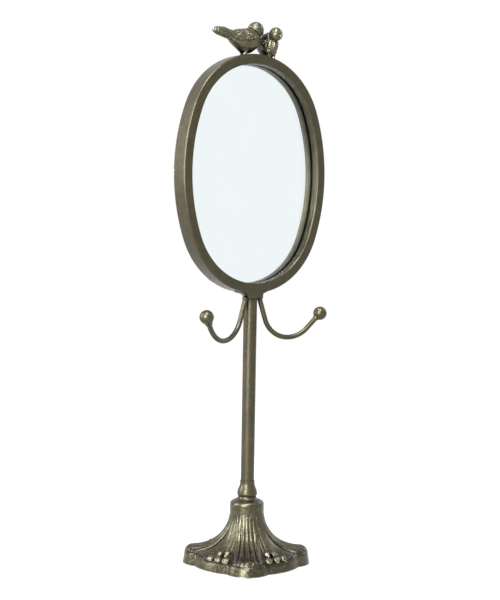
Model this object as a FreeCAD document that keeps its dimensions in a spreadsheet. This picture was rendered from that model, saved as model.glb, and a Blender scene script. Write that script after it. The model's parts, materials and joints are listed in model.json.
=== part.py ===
import FreeCAD, Part
import math
import os
import Sketcher
from FreeCAD import Vector

# Tabletop oval mirror: a lobed cast base, a turned collar, a slim post with two jewellery hooks, a deep
# oval frame with its glass, and two cast birds. Millimetres. X runs to the right of the glass, -Y is the
# side that the glass faces, Z is up, and the origin is the middle of the footprint on the table.

SIZES = {
    # base casting
    "plinth_radius": 52.0,
    "plinth_height": 12.0,
    "plinth_draft": 2.0,
    "lobe_offset": 39.4,
    "lobe_radius": 20.8,
    "lobe_count": 4,
    "lobe_round": 4.6,
    "ledge": 0.6,
    "flare_radius": 35.6,
    "flare_top": 48.0,
    "neck_radius": 16.1,
    "neck_shoulder": 4.0,
    "base_height": 59.5,
    "base_wall": 4.5,
    "base_top": 13.5,
    "base_turn": 36.3,
    # relief on the base: leaves of reeds over the lobes, short reeds between them
    "crest_radius": 34.1,
    "crest_top": 50.1,
    "leaf_reach": 53.5,
    "leaf_dome": 57.0,
    "leaf_height": 15.8,
    "leaf_reeds": 5,
    "leaf_foot_width": 29.6,
    "leaf_edge_drop": 0.3,
    "leaf_margin": 1.2,
    "reed_groove": 0.75,
    "reed_fade": 0.6,
    "reed_bite": 1.2,
    "short_reed_reach": 29.5,
    # feet and the bolt under the base
    "felt_thickness": 1.0,
    "felt_diameter": 9.0,
    "felt_row": 53.2,
    "bolt_diameter": 6.0,
    "bolt_play": 0.3,
    "thread_play": 0.05,
    "bolt_head_across": 10.0,
    "bolt_head_height": 4.0,
    "bolt_grip": 12.0,
    "washer_diameter": 18.0,
    "washer_thickness": 1.6,
    # collar
    "collar_foot": 12.0,
    "collar_edge": 0.5,
    "collar_cove": 3.4,
    "collar_waist": 8.6,
    "collar_waist_height": 3.9,
    "collar_bulge": 9.35,
    "collar_bulge_height": 7.3,
    "collar_shoulder": 8.5,
    "collar_shoulder_height": 10.9,
    "collar_lip": 0.55,
    "collar_lip_height": 15.8,
    "collar_height": 18.5,
    "collar_socket": 11.0,
    # post
    "post_diameter": 12.7,
    "post_wall": 1.2,
    "post_play": 0.1,
    "insert_length": 20.0,
    # neck block
    "neck_depth": 4.7,
    "neck_front_width": 17.6,
    "neck_rear_radius": 7.2,
    "neck_flare": 12.0,
    "neck_front_flare": 1.2,
    "neck_straight": 2.0,
    "neck_rise": 6.4,
    "neck_socket": 2.0,
    "braze_gap": 0.15,
    # hooks
    "rod_diameter": 4.76,
    "hook_gap": 0.3,
    "hook_left_sweep_angle": 21.0,
    "hook_left_lean_angle": 23.9,
    "hook_left_drop": 20.3,
    "hook_left_bend": 30.4,
    "hook_left_tip_bend": 28.1,
    "hook_left_rise_angle": 58.2,
    "hook_left_tip": 9.4,
    "hook_right_sweep_angle": 18.8,
    "hook_right_lean_angle": 16.8,
    "hook_right_drop": 20.5,
    "hook_right_bend": 23.7,
    "hook_right_tip_bend": 26.8,
    "hook_right_rise_angle": 46.5,
    "hook_right_tip": 17.7,
    "ball_diameter": 13.0,
    "ball_socket": 4.5,
    "ball_left_neck": 2.8,
    "ball_left_neck_radius": 4.4,
    "ball_right_neck": 0.8,
    "ball_right_neck_radius": 3.4,
    "ball_play": 0.05,
    # oval frame
    "oval_centre": 366.3,
    "oval_half_width": 83.3,
    "oval_half_height": 111.0,
    "oval_end_ease": 6.3,
    "frame_face": 9.3,
    "frame_depth": 16.5,
    "frame_front": 8.0,
    "frame_lip": 8.0,
    "frame_rebate": 4.0,
    "outer_round": 1.6,
    "inner_round": 1.0,
    # glass and back
    "glass_thickness": 3.0,
    "glass_play": 0.5,
    "card_thickness": 1.0,
    "panel_thickness": 3.0,
    # clips and their screws
    "clip_width": 9.0,
    "clip_thickness": 0.8,
    "clip_heel": 2.3,
    "clip_reach": 10.6,
    "clip_play": 0.4,
    "clip_angle": 58.0,
    "screw_diameter": 2.8,
    "screw_play": 0.05,
    "screw_length": 5.0,
    "screw_head": 5.2,
    "screw_head_height": 1.8,
    "screw_head_round": 0.9,
    # birds
    "bird_left_x": -13.0,
    "bird_left_leg_ahead": 0.0,
    "bird_left_head_reach": 13.9,
    "bird_left_head_rise": 23.9,
    "bird_left_head": 15.2,
    "bird_right_x": 17.0,
    "bird_right_leg_ahead": 4.0,
    "bird_right_head_reach": 10.0,
    "bird_right_head_rise": 21.4,
    "bird_right_head": 12.9,
    "beak_reach": 0.4,
    "beak_drop": 0.12,
    "beak_root": 0.13,
    "beak_tip": 0.04,
    "beak_length": 0.25,
    "beak_dip": 0.45,
    "bird_leg": 1.6,
    "bird_leg_top": 5.0,
    "bird_stance": 2.4,
}

LEFT = -1
RIGHT = 1

# Where the skirt's sections stand: shares of the way down the flare, then degrees round its lower edge.
FLARE_STATIONS = (0.06, 0.18, 0.32, 0.46, 0.6, 0.73, 0.84, 0.93)
EDGE_STATIONS = (0, 30, 60, 90)


def make_sheet(doc):
    """Puts every driving size into the spreadsheet under its own alias."""
    sheet = doc.addObject("Spreadsheet::Sheet", "Sizes")
    for row, (alias, value) in enumerate(SIZES.items(), start=1):
        sheet.set(f"A{row}", alias)
        sheet.set(f"B{row}", str(value))
        sheet.setAlias(f"B{row}", alias)
    doc.recompute()
    return sheet


def size(alias):
    """The value of one size, read back from the sheet."""
    return float(sheet.get(alias))


def terms(text):
    """Splits a sum such as 'post_diameter / 2 + collar_lip' into (sign, word, divisor) terms."""
    found = []
    sign = 1
    words = text.split()
    for place, word in enumerate(words):
        if word in "+-":
            sign = 1 if word == "+" else -1
        elif word == "/" or words[place - 1] == "/" and place:
            continue
        else:
            halved = place + 1 < len(words) and words[place + 1] == "/"
            found.append((sign, word, float(words[place + 2]) if halved else 1.0))
    return found


def amount(text):
    """The present value of a sum of sizes, used as the first guess of a bound dimension."""
    total = 0.0
    for sign, word, divisor in terms(text):
        value = size(word) if word in SIZES else float(word)
        total += sign * value / divisor
    return total


def named(text):
    """A formula with every size in it read from the sheet. Angles inside cos( ) and sin( ) are degrees."""
    words = text.replace("(", " ( ").replace(")", " ) ").split()
    read = [f"Sizes.{word}" if word in SIZES else word for word in words]
    joined = " ".join(read)
    for function in ("cos", "sin"):
        joined = joined.replace(f"{function} ( ", f"{function}(1deg * ")
    return joined


def bind(thing, **properties):
    """Binds properties of an object to sums of sizes."""
    for name, text in properties.items():
        thing.setExpression(name, named(text))


def new_body(name):
    body = doc.addObject("PartDesign::Body", name)
    body.Label = name
    return body


def origin_feature(body, role):
    return next(item for item in body.Origin.OriginFeatures if item.Role == role)


def new_sketch(body, name, role="XY_Plane", height=None):
    """A sketch on one of its body's own origin planes, lifted along the plane's normal if asked."""
    sketch = body.newObject("Sketcher::SketchObject", name)
    sketch.AttachmentSupport = [(origin_feature(body, role), "")]
    sketch.MapMode = "FlatFace"
    if height:
        sketch.setExpression("AttachmentOffset.Base.z", named(height))
    return sketch


def pin_coordinate(sketch, kind, geometry, point, text):
    """Fixes one coordinate of a point of the sketch to a sum of sizes."""
    if text == "0":
        axis = -2 if kind == "DistanceX" else -1
        sketch.addConstraint(Sketcher.Constraint("PointOnObject", geometry, point, axis))
        return
    place = sketch.addConstraint(Sketcher.Constraint(kind, -1, 1, geometry, point, amount(text)))
    sketch.setExpression(f"Constraints[{place}]", named(text))


def arc_between(start, end, radius, bulge):
    """An arc from start to end; bulge +1 keeps it to the right of the chord, -1 to the left."""
    chord = end - start
    middle = (start + end) / 2
    side = Vector(chord.y, -chord.x, 0).normalize() * bulge
    reach = math.sqrt(max(radius**2 - (chord.Length / 2) ** 2, 0.0))
    top = middle + side * (radius - reach)
    return Part.Arc(start, top, end)


def outline(sketch, corners, closed=True):
    """Draws an outline through corners given as (x, y) sums of sizes. A corner with (radius, bulge)
    behind it starts an arc to the next corner. Every corner and radius is bound to the sheet."""
    points = [Vector(amount(corner[0]), amount(corner[1]), 0) for corner in corners]
    count = len(corners) if closed else len(corners) - 1
    for place in range(count):
        start = points[place]
        end = points[(place + 1) % len(points)]
        if len(corners[place]) > 2:
            radius, bulge = corners[place][2], corners[place][3]
            sketch.addGeometry(arc_between(start, end, amount(radius), bulge), False)
        else:
            sketch.addGeometry(Part.LineSegment(start, end), False)
    ends = []
    for place in range(count):
        forward = (sketch.getPoint(place, 1) - points[place]).Length < 1e-6
        ends.append((1, 2) if forward else (2, 1))
    for place in range(count if closed else count - 1):
        following = (place + 1) % count
        joint = Sketcher.Constraint("Coincident", place, ends[place][1], following, ends[following][0])
        sketch.addConstraint(joint)
    for place in range(count):
        pin_coordinate(sketch, "DistanceX", place, ends[place][0], corners[place][0])
        pin_coordinate(sketch, "DistanceY", place, ends[place][0], corners[place][1])
        if len(corners[place]) > 2:
            radius = corners[place][2]
            made = sketch.addConstraint(Sketcher.Constraint("Radius", place, amount(radius)))
            sketch.setExpression(f"Constraints[{made}]", named(radius))
    if not closed:
        pin_coordinate(sketch, "DistanceX", count - 1, ends[-1][1], corners[-1][0])
        pin_coordinate(sketch, "DistanceY", count - 1, ends[-1][1], corners[-1][1])


def circle(sketch, radius, x="0", y="0"):
    """A circle whose centre and radius are bound to the sheet."""
    made = Part.Circle(Vector(amount(x), amount(y), 0), Vector(0, 0, 1), amount(radius))
    place = sketch.addGeometry(made, False)
    pin_coordinate(sketch, "DistanceX", place, 3, x)
    pin_coordinate(sketch, "DistanceY", place, 3, y)
    fixed = sketch.addConstraint(Sketcher.Constraint("Radius", place, amount(radius)))
    sketch.setExpression(f"Constraints[{fixed}]", named(radius))


def feature(body, kind, name, profile, **properties):
    """A PartDesign feature of one sketch, with its sizes bound to the sheet."""
    made = body.newObject(f"PartDesign::{kind}", name)
    made.Profile = profile
    profile.Visibility = False
    bind(made, **properties)
    body.Tip = made
    return made


def turned(body, kind, name, sketch, axis="V_Axis"):
    """A full turn of a profile about an axis of its sketch."""
    made = body.newObject(f"PartDesign::{kind}", name)
    made.Profile = sketch
    made.ReferenceAxis = (sketch, [axis])
    made.Angle = 360
    body.Tip = made
    return made


def polar(body, name, original, count):
    """Repeats a feature about the body's Z axis."""
    made = body.newObject("PartDesign::PolarPattern", name)
    made.Originals = [original]
    made.Axis = (origin_feature(body, "Z_Axis"), [""])
    made.Angle = 360
    bind(made, Occurrences=count)
    body.Tip = made
    return made


def placed(thing, spot=("0", "0", "0"), turn=("0", "0", "0")):
    """Binds a whole placement: a spot (x, y, z) and a turn (yaw, pitch, roll in degrees)."""
    vector = "; ".join(named(text) for text in spot)
    rotation = "; ".join(named(text) for text in turn)
    made = f"create(<<placement>>; create(<<vector>>; {vector}); create(<<rotation>>; {rotation}))"
    thing.setExpression("Placement", made)


def primitive(kind, name, **properties):
    """A Part primitive with its sizes bound to the sheet."""
    made = doc.addObject(f"Part::{kind}", name)
    bind(made, **properties)
    return made


def combined(kind, label, base, tool):
    """A Part boolean of two objects."""
    made = doc.addObject(f"Part::{kind}", label)
    made.Label = label
    made.Base = base
    made.Tool = tool
    return made


def gathered(label, members):
    """Several separate solids under one name."""
    made = doc.addObject("Part::Compound", label)
    made.Label = label
    made.Links = members
    return made


def shaped(label, shape):
    """A sub-part whose form no feature or primitive gives."""
    made = doc.addObject("Part::Feature", label)
    made.Label = label
    made.Shape = shape
    return made


def around(azimuth, distance, height):
    """A point at an azimuth (degrees from a lobe's middle), a distance from the axis and a height."""
    angle = math.radians(azimuth)
    return Vector(distance * math.cos(angle), distance * math.sin(angle), height)


# ---- base casting ----


def base_core():
    """The plinth with its four lobes and the neck above the flare, as one turned and patterned body."""
    body = new_body("base_core")
    plinth = new_sketch(body, "plinth_profile", "XZ_Plane")
    outline(
        plinth,
        [
            ("0", "0"),
            ("plinth_radius", "0"),
            ("plinth_radius - plinth_draft", "plinth_height"),
            ("neck_radius - ledge", "plinth_height"),
            ("neck_radius - ledge", "flare_top"),
            ("neck_radius", "flare_top"),
            ("neck_radius", "base_height - neck_shoulder", "neck_shoulder", 1),
            ("neck_radius - neck_shoulder", "base_height"),
            ("0", "base_height"),
        ],
    )
    turned(body, "Revolution", "plinth", plinth)
    lobe = new_sketch(body, "lobe_profile", "XZ_Plane")
    outline(
        lobe,
        [
            ("lobe_offset", "0"),
            ("lobe_offset + lobe_radius", "0"),
            ("lobe_offset + lobe_radius - plinth_draft", "plinth_height"),
            ("lobe_offset", "plinth_height"),
        ],
    )
    first_lobe = turned(body, "Revolution", "lobe", lobe, "Edge4")
    polar(body, "lobes", first_lobe, "lobe_count")
    return body


def base_hollow():
    """The hollow under the bell with the bolt hole through its ceiling, as a turned tool."""
    body = new_body("base_hollow")
    profile = new_sketch(body, "hollow_profile", "XZ_Plane")
    outline(
        profile,
        [
            ("0", "0"),
            ("plinth_radius - base_wall", "0"),
            ("plinth_radius - base_wall - plinth_draft", "plinth_height - base_wall", "flare_radius", -1),
            ("neck_radius - base_wall", "flare_top - base_wall"),
            ("neck_radius - base_wall", "base_height - base_top"),
            ("bolt_diameter / 2 + bolt_play", "base_height - base_top"),
            ("bolt_diameter / 2 + bolt_play", "base_height"),
            ("0", "base_height"),
        ],
    )
    turned(body, "Revolution", "hollow", profile)
    return body


def flare_height(distance):
    """Height of the plain flare of the bell at a distance from the axis."""
    radius = size("flare_radius")
    run = min(max(size("neck_radius") + radius - distance, 0.0), radius)
    return size("flare_top") - math.sqrt(radius**2 - run**2)


def crest_height(distance):
    """Height of a leaf's middle reed: an arc down the neck, then a long dome out over the lobe."""
    radius = size("crest_radius")
    run = min(max(size("neck_radius") + radius - distance, 0.0), radius)
    down_the_neck = size("crest_top") - math.sqrt(radius**2 - run**2)
    dome = size("leaf_dome")
    outward = size("leaf_reach") - distance
    over_the_lobe = size("leaf_height") + dome - math.sqrt(dome**2 - outward**2)
    return max(down_the_neck, over_the_lobe)


def plinth_edge(turn, inset):
    """Distance from the axis to the lobed edge of the plinth's top, turn degrees from a lobe's middle."""
    offset = size("lobe_offset")
    lobe = size("lobe_radius") - size("plinth_draft") - inset
    disc = size("plinth_radius") - size("plinth_draft") - inset
    across = offset * math.sin(math.radians(turn))
    if abs(across) >= lobe:
        return disc
    return max(disc, offset * math.cos(math.radians(turn)) + math.sqrt(lobe**2 - across**2))


def leaf_half_angle(spread, reach):
    """Half of a leaf's angle in a section whose distance from the axis is reach(turn): the leaf's width
    grows evenly from the neck to the foot."""
    top = size("neck_radius") * math.sin(math.radians(180.0 / size("lobe_count") * leaf_part()))
    half = top + (size("leaf_foot_width") / 2 - top) * spread
    turn = 0.0
    for _ in range(20):
        turn = math.degrees(math.asin(half / reach(turn)))
    return turn


def leaf_part():
    """The part of a lobe's sector that a leaf takes at the neck; a short reed stands on each side."""
    return size("leaf_reeds") / (size("leaf_reeds") + 2)


def notch_angle():
    """Where the plinth's edge passes from a narrow lobe to a wide one."""
    offset = size("lobe_offset")
    lobe = size("lobe_radius") - size("plinth_draft")
    disc = size("plinth_radius") - size("plinth_draft")
    return math.degrees(math.acos((disc**2 + offset**2 - lobe**2) / (2 * disc * offset)))


def reed_marks(spread, half):
    """The turns across one sector at which its reeds meet, each with the height of the valley there and
    of the crest after it, as shares of the full relief. Half is half of the leaf's angle."""
    reeds = int(size("leaf_reeds"))
    groove = size("reed_groove") * (1 - size("reed_fade") * spread)
    edge = 180.0 / size("lobe_count")
    outer = max(half + size("leaf_margin"), notch_angle())
    short = (size("short_reed_reach") - size("neck_radius")) / (size("leaf_reach") - size("neck_radius"))
    low_reed = max(1 - spread / short, 0.0)
    marks = [(-edge, 0.3 * low_reed, low_reed), (-outer, 0.0, 0.0)]
    for reed in range(reeds):
        aside = 2 * reed / (reeds - 1) - 1
        crest = 1 - size("leaf_edge_drop") * (aside * spread) ** 2
        valley = (1 - groove) * crest if reed else 0.0
        marks.append((half * (2 * reed / reeds - 1), valley, crest))
    marks += [(half, 0.0, 0.0), (outer, 0.0, low_reed)]
    return marks


def scalloped_ring(marks, place):
    """A closed wire of arcs, one to each reed, round all the lobes."""
    sector = 360.0 / size("lobe_count")
    ends = marks[1:] + [(marks[0][0] + sector, marks[0][1], marks[0][2])]
    edges = []
    for lobe in range(int(size("lobe_count"))):
        for (turn, valley, crest), (end, next_valley, _) in zip(marks, ends):
            middle = (turn + end) / 2
            points = [around(sector * lobe + turn, *place(turn, valley)),
                      around(sector * lobe + middle, *place(middle, crest)),
                      around(sector * lobe + end, *place(end, next_valley))]
            edges.append(Part.Arc(*points).toShape())
    return Part.Wire(edges)


def skirt_ring(share, angle=0.0):
    """One section of the skirt: share of the way down the flare, then angle round the plinth's edge."""
    spread = 1 - math.cos(math.radians(90 * share))
    lowest = size("plinth_height")
    rise = math.cos(math.radians(angle))
    depth = size("lobe_round") * (1 - math.sin(math.radians(angle)))

    def place(turn, raised):
        inset = size("ledge") + depth * min(3 * raised, 1.0) + size("reed_bite") * spread * (1 - raised)
        edge = plinth_edge(turn, inset)
        distance = size("neck_radius") + spread * (edge - size("neck_radius"))
        height = flare_height(distance) + raised * (crest_height(distance) - flare_height(distance))
        return distance, lowest + (height - lowest) * rise

    half = leaf_half_angle(spread, lambda turn: place(turn, 0.0)[0])
    return scalloped_ring(reed_marks(spread, half), place)


def base_skirt():
    """The fluted bell: one loft through scalloped sections, from the neck out to the plinth's edge."""
    top = size("neck_radius"), size("flare_top")
    half = leaf_half_angle(0.0, lambda turn: size("neck_radius"))
    rings = [scalloped_ring(reed_marks(0.0, half), lambda turn, raised: top)]
    rings += [skirt_ring(share) for share in FLARE_STATIONS]
    rings += [skirt_ring(1.0, angle) for angle in EDGE_STATIONS]
    return shaped("base_skirt", Part.makeLoft(rings, True, False))


def base_casting():
    """Core and skirt made one, hollowed from below."""
    outer = combined("Fuse", "base_outer", base_core(), base_skirt())
    casting = combined("Cut", "base_casting", outer, base_hollow())
    placed(casting, ("0", "0", "felt_thickness"), ("0 - base_turn", "0", "0"))
    return casting


def foot_pads():
    """Four felt discs under the lobes."""
    pads = []
    for lobe in range(int(size("lobe_count"))):
        pad = primitive("Cylinder", f"felt_{lobe}", Radius="felt_diameter / 2", Height="felt_thickness")
        turn = f"( {lobe} * 360 / lobe_count - base_turn )"
        placed(pad, (f"felt_row * cos( {turn} )", f"felt_row * sin( {turn} )", "0"))
        pads.append(pad)
    return gathered("foot_pads", pads)


def base_washer():
    """The flat washer under the ceiling of the bell."""
    body = new_body("base_washer")
    ring = new_sketch(body, "washer_ring")
    circle(ring, "washer_diameter / 2")
    circle(ring, "bolt_diameter / 2 + bolt_play")
    feature(body, "Pad", "washer", ring, Length="washer_thickness")
    placed(body, ("0", "0", "felt_thickness + base_height - base_top - washer_thickness"))
    return body


def base_bolt():
    """A hexagon bolt up through the base and the collar into the post's insert."""
    head = primitive("Prism", "bolt_head", Height="bolt_head_height")
    head.Polygon = 6
    head.setExpression("Circumradius", "Sizes.bolt_head_across / sqrt(3)")
    reach = "base_top + collar_height - collar_socket + washer_thickness + bolt_grip"
    shank = primitive("Cylinder", "bolt_shank", Radius="bolt_diameter / 2", Height=reach)
    placed(shank, ("0", "0", "bolt_head_height"))
    bolt = combined("Fuse", "base_bolt", head, shank)
    under = "washer_thickness + bolt_head_height"
    placed(bolt, ("0", "0", f"felt_thickness + base_height - base_top - ( {under} )"))
    return bolt


# ---- collar, post and neck block ----


def collar():
    """The turned vase: foot edge, cove, bulge and a long taper to a lip round the post."""
    body = new_body("collar")
    profile = new_sketch(body, "collar_profile", "XZ_Plane")
    outline(
        profile,
        [
            ("bolt_diameter / 2 + bolt_play", "0"),
            ("collar_foot", "0"),
            ("collar_foot", "collar_edge", "collar_cove", -1),
            ("collar_waist", "collar_waist_height", "collar_cove", 1),
            ("collar_bulge", "collar_bulge_height", "collar_foot", 1),
            ("collar_shoulder", "collar_shoulder_height", "collar_foot", -1),
            ("post_diameter / 2 + collar_lip", "collar_lip_height"),
            ("post_diameter / 2 + collar_lip", "collar_height"),
            ("post_diameter / 2 + post_play", "collar_height"),
            ("post_diameter / 2 + post_play", "collar_height - collar_socket"),
            ("bolt_diameter / 2 + bolt_play", "collar_height - collar_socket"),
        ],
    )
    turned(body, "Revolution", "vase", profile)
    placed(body, ("0", "0", "felt_thickness + base_height"))
    return body


NECK_BOTTOM = "oval_centre - oval_half_height - neck_depth"
POST_FOOT = "felt_thickness + base_height + collar_height - collar_socket"


def post_tube():
    """The slim round tube, from the collar's socket to the socket of the neck block."""
    body = new_body("post_tube")
    ring = new_sketch(body, "tube_ring")
    circle(ring, "post_diameter / 2")
    circle(ring, "post_diameter / 2 - post_wall")
    length = f"{NECK_BOTTOM} + neck_socket - base_height - collar_height + collar_socket"
    feature(body, "Pad", "tube", ring, Length=length)
    placed(body, ("0", "0", POST_FOOT))
    return body


def post_insert():
    """The threaded plug that is fixed in the lower end of the post."""
    body = new_body("post_insert")
    ring = new_sketch(body, "insert_ring")
    circle(ring, "post_diameter / 2 - post_wall - thread_play")
    circle(ring, "bolt_diameter / 2 + thread_play")
    feature(body, "Pad", "insert", ring, Length="insert_length")
    placed(body, ("0", "0", POST_FOOT))
    return body


def neck_section(body, name, height, part):
    """A keystone plan: a straight front flush with the frame and a round back about the post, flared
    by a part of the whole flare."""
    sketch = new_sketch(body, name, height=height)
    front = f"neck_front_width / 2 + neck_front_flare{part}"
    side = f"neck_rear_radius + neck_flare{part}"
    back = f"neck_rear_radius + neck_front_flare{part}"
    outline(
        sketch,
        [
            (f"0 - {front}".replace("+", "-"), "0 - frame_front"),
            (front, "0 - frame_front"),
            (side, "0", side, 1),
            ("0", back, side, 1),
            (f"0 - {side}".replace("+", "-"), "0"),
        ],
    )
    return sketch


def neck_block():
    """The short block that carries the frame on the post, flared up to the frame's curve."""
    body = new_body("neck_flare")
    half_way = "neck_straight / 2 + neck_rise / 2"
    sections = [
        neck_section(body, "neck_plan_low", NECK_BOTTOM, " / 99"),
        neck_section(body, "neck_plan_straight", f"{NECK_BOTTOM} + neck_straight", " / 16"),
        neck_section(body, "neck_plan_middle", f"{NECK_BOTTOM} + {half_way}", " / 2.4"),
        neck_section(body, "neck_plan_high", f"{NECK_BOTTOM} + neck_rise", " / 1"),
    ]
    block = body.newObject("PartDesign::AdditiveLoft", "keystone")
    block.Profile = sections[0]
    block.Sections = sections[1:]
    body.Tip = block
    doc.recompute()
    socket = new_sketch(body, "post_socket_ring", height=NECK_BOTTOM)
    circle(socket, "post_diameter / 2 + post_play")
    hole = feature(body, "Pocket", "post_socket", socket, Length="neck_socket")
    hole.Reversed = True
    neck = combined("Cut", "neck_block", body, frame_envelope("neck_seat"))
    placed(neck, ("0", "0", "felt_thickness"))
    return neck


# ---- hooks ----

SIDES = {LEFT: "left", RIGHT: "right"}


def hook_top(side):
    """Where a rod's upper end stands: its reach from the axis and its height, beside and under the neck."""
    lean = f"hook_{SIDES[side]}_lean_angle"
    reach = f"( post_diameter / 2 + rod_diameter / 2 / cos( {lean} ) + hook_gap )"
    height = f"( {NECK_BOTTOM} - rod_diameter / 2 * sin( {lean} ) - braze_gap )"
    return reach, height


def hook_path(body, side):
    """The rod's centre line: a straight drop, two tangent bends and a straight rising tip."""
    hook = f"hook_{SIDES[side]}_"
    lean = math.radians(size(hook + "lean_angle"))
    rise = math.radians(size(hook + "rise_angle"))
    drop, bend, tip_bend = size(hook + "drop"), size(hook + "bend"), size(hook + "tip_bend")
    reach = size("post_diameter") / 2 + size("rod_diameter") / 2 / math.cos(lean) + size("hook_gap")
    height = amount(NECK_BOTTOM) - size("rod_diameter") / 2 * math.sin(lean) - size("braze_gap")
    top = Vector(reach, height, 0)
    first = top + Vector(math.sin(lean), -math.cos(lean), 0) * drop
    middle = first + Vector(math.cos(lean), math.sin(lean), 0) * bend
    lowest = middle - Vector(0, bend, 0)
    second = lowest + Vector(0, tip_bend, 0)
    tip = Vector(math.cos(rise), math.sin(rise), 0)
    last = second + Vector(math.sin(rise), -math.cos(rise), 0) * tip_bend
    normal = Vector(0, 0, 1)
    sketch = new_sketch(body, "hook_path", "XZ_Plane")
    sketch.addGeometry(Part.LineSegment(top, first), False)
    main = Part.Circle(middle, normal, bend)
    sketch.addGeometry(Part.ArcOfCircle(main, math.pi + lean, 1.5 * math.pi), False)
    upper = Part.Circle(second, normal, tip_bend)
    sketch.addGeometry(Part.ArcOfCircle(upper, 1.5 * math.pi, 1.5 * math.pi + rise), False)
    sketch.addGeometry(Part.LineSegment(last, last + tip * size(hook + "tip")), False)
    for before, after in ((0, 1), (1, 2), (2, 3)):
        sketch.addConstraint(Sketcher.Constraint("Tangent", before, 2, after, 1))
    top_reach, top_height = hook_top(side)
    measures = [
        (Sketcher.Constraint("DistanceX", -1, 1, 0, 1, reach), top_reach),
        (Sketcher.Constraint("DistanceY", -1, 1, 0, 1, height), top_height),
        (Sketcher.Constraint("Distance", 0, drop), hook + "drop"),
        (Sketcher.Constraint("Angle", 0, lean - math.pi / 2), f"( {hook}lean_angle - 90 ) * 1deg"),
        (Sketcher.Constraint("Radius", 1, bend), hook + "bend"),
        (Sketcher.Constraint("Radius", 2, tip_bend), hook + "tip_bend"),
        (Sketcher.Constraint("Angle", 3, rise), f"{hook}rise_angle * 1deg"),
        (Sketcher.Constraint("Distance", 3, size(hook + "tip")), hook + "tip"),
    ]
    for constraint, text in measures:
        place = sketch.addConstraint(constraint)
        sketch.setExpression(f"Constraints[{place}]", named(text))
    sketch.addConstraint(Sketcher.Constraint("Vertical", 1, 3, 1, 2))
    return sketch


def hook_yaw(side):
    """Each hook sweeps forward of the frame's plane by its own angle."""
    return "0 - hook_right_sweep_angle" if side == RIGHT else "hook_left_sweep_angle - 180"


def hook_arm(side):
    """A round rod bent to the hook's path."""
    body = new_body(f"hook_arm_{SIDES[side]}")
    path = hook_path(body, side)
    ring = new_sketch(body, "rod_ring")
    circle(ring, "rod_diameter / 2")
    reach, height = hook_top(side)
    spot = f"create(<<vector>>; {named(reach)}; 0; {named(height)})"
    turn = f"create(<<rotation>>; 0; 0 - Sizes.hook_{SIDES[side]}_lean_angle; 0)"
    ring.setExpression("AttachmentOffset", f"create(<<placement>>; {spot}; {turn})")
    doc.recompute()
    rod = body.newObject("PartDesign::AdditivePipe", "rod")
    rod.Profile = ring
    rod.Spine = path
    body.Tip = rod
    placed(body, ("0", "0", "felt_thickness"), (hook_yaw(side), "0", "0"))
    return body


def hook_ball(side):
    """A ball drilled for the rod, with a short braze cone where the rod enters it."""
    name = SIDES[side]
    hook = f"hook_{name}_"
    neck = f"ball_{name}_neck"
    ball = primitive("Sphere", f"ball_{name}", Radius="ball_diameter / 2")
    cone = primitive("Cone", f"cone_{name}", Radius1="rod_diameter / 2 + hook_gap", Radius2=f"{neck}_radius")
    bind(cone, Height=f"{neck} + ball_diameter / 8")
    placed(cone, ("0", "0", f"0 - ball_diameter / 2 - {neck}"))
    drill = primitive("Cylinder", f"drill_{name}", Radius="rod_diameter / 2 + ball_play")
    bind(drill, Height=f"ball_socket + 2 * {neck}")
    placed(drill, ("0", "0", f"0 - ball_diameter / 2 - 2 * {neck}"))
    blank = combined("Fuse", f"blank_{name}", ball, cone)
    drilled = combined("Cut", f"hook_ball_{name}", blank, drill)
    reach, height = hook_top(side)
    along = f"( {hook}tip + ball_diameter / 2 - ball_socket )"
    out = (
        f"{reach} + {hook}drop * sin( {hook}lean_angle ) + {hook}bend * cos( {hook}lean_angle )"
        f" + {hook}tip_bend * sin( {hook}rise_angle ) + {along} * cos( {hook}rise_angle )"
    )
    up = (
        f"{height} - {hook}drop * cos( {hook}lean_angle ) - {hook}bend * (1 - sin( {hook}lean_angle ))"
        f" + {hook}tip_bend * (1 - cos( {hook}rise_angle )) + {along} * sin( {hook}rise_angle )"
    )
    across = f"{side} * ( {out} ) * cos( {hook}sweep_angle )"
    ahead = f"0 - ( {out} ) * sin( {hook}sweep_angle )"
    turn = (hook_yaw(side), f"90 - {hook}rise_angle", "0")
    placed(drilled, (across, ahead, f"felt_thickness + {up}"), turn)
    return drilled


# ---- oval frame ----


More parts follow.
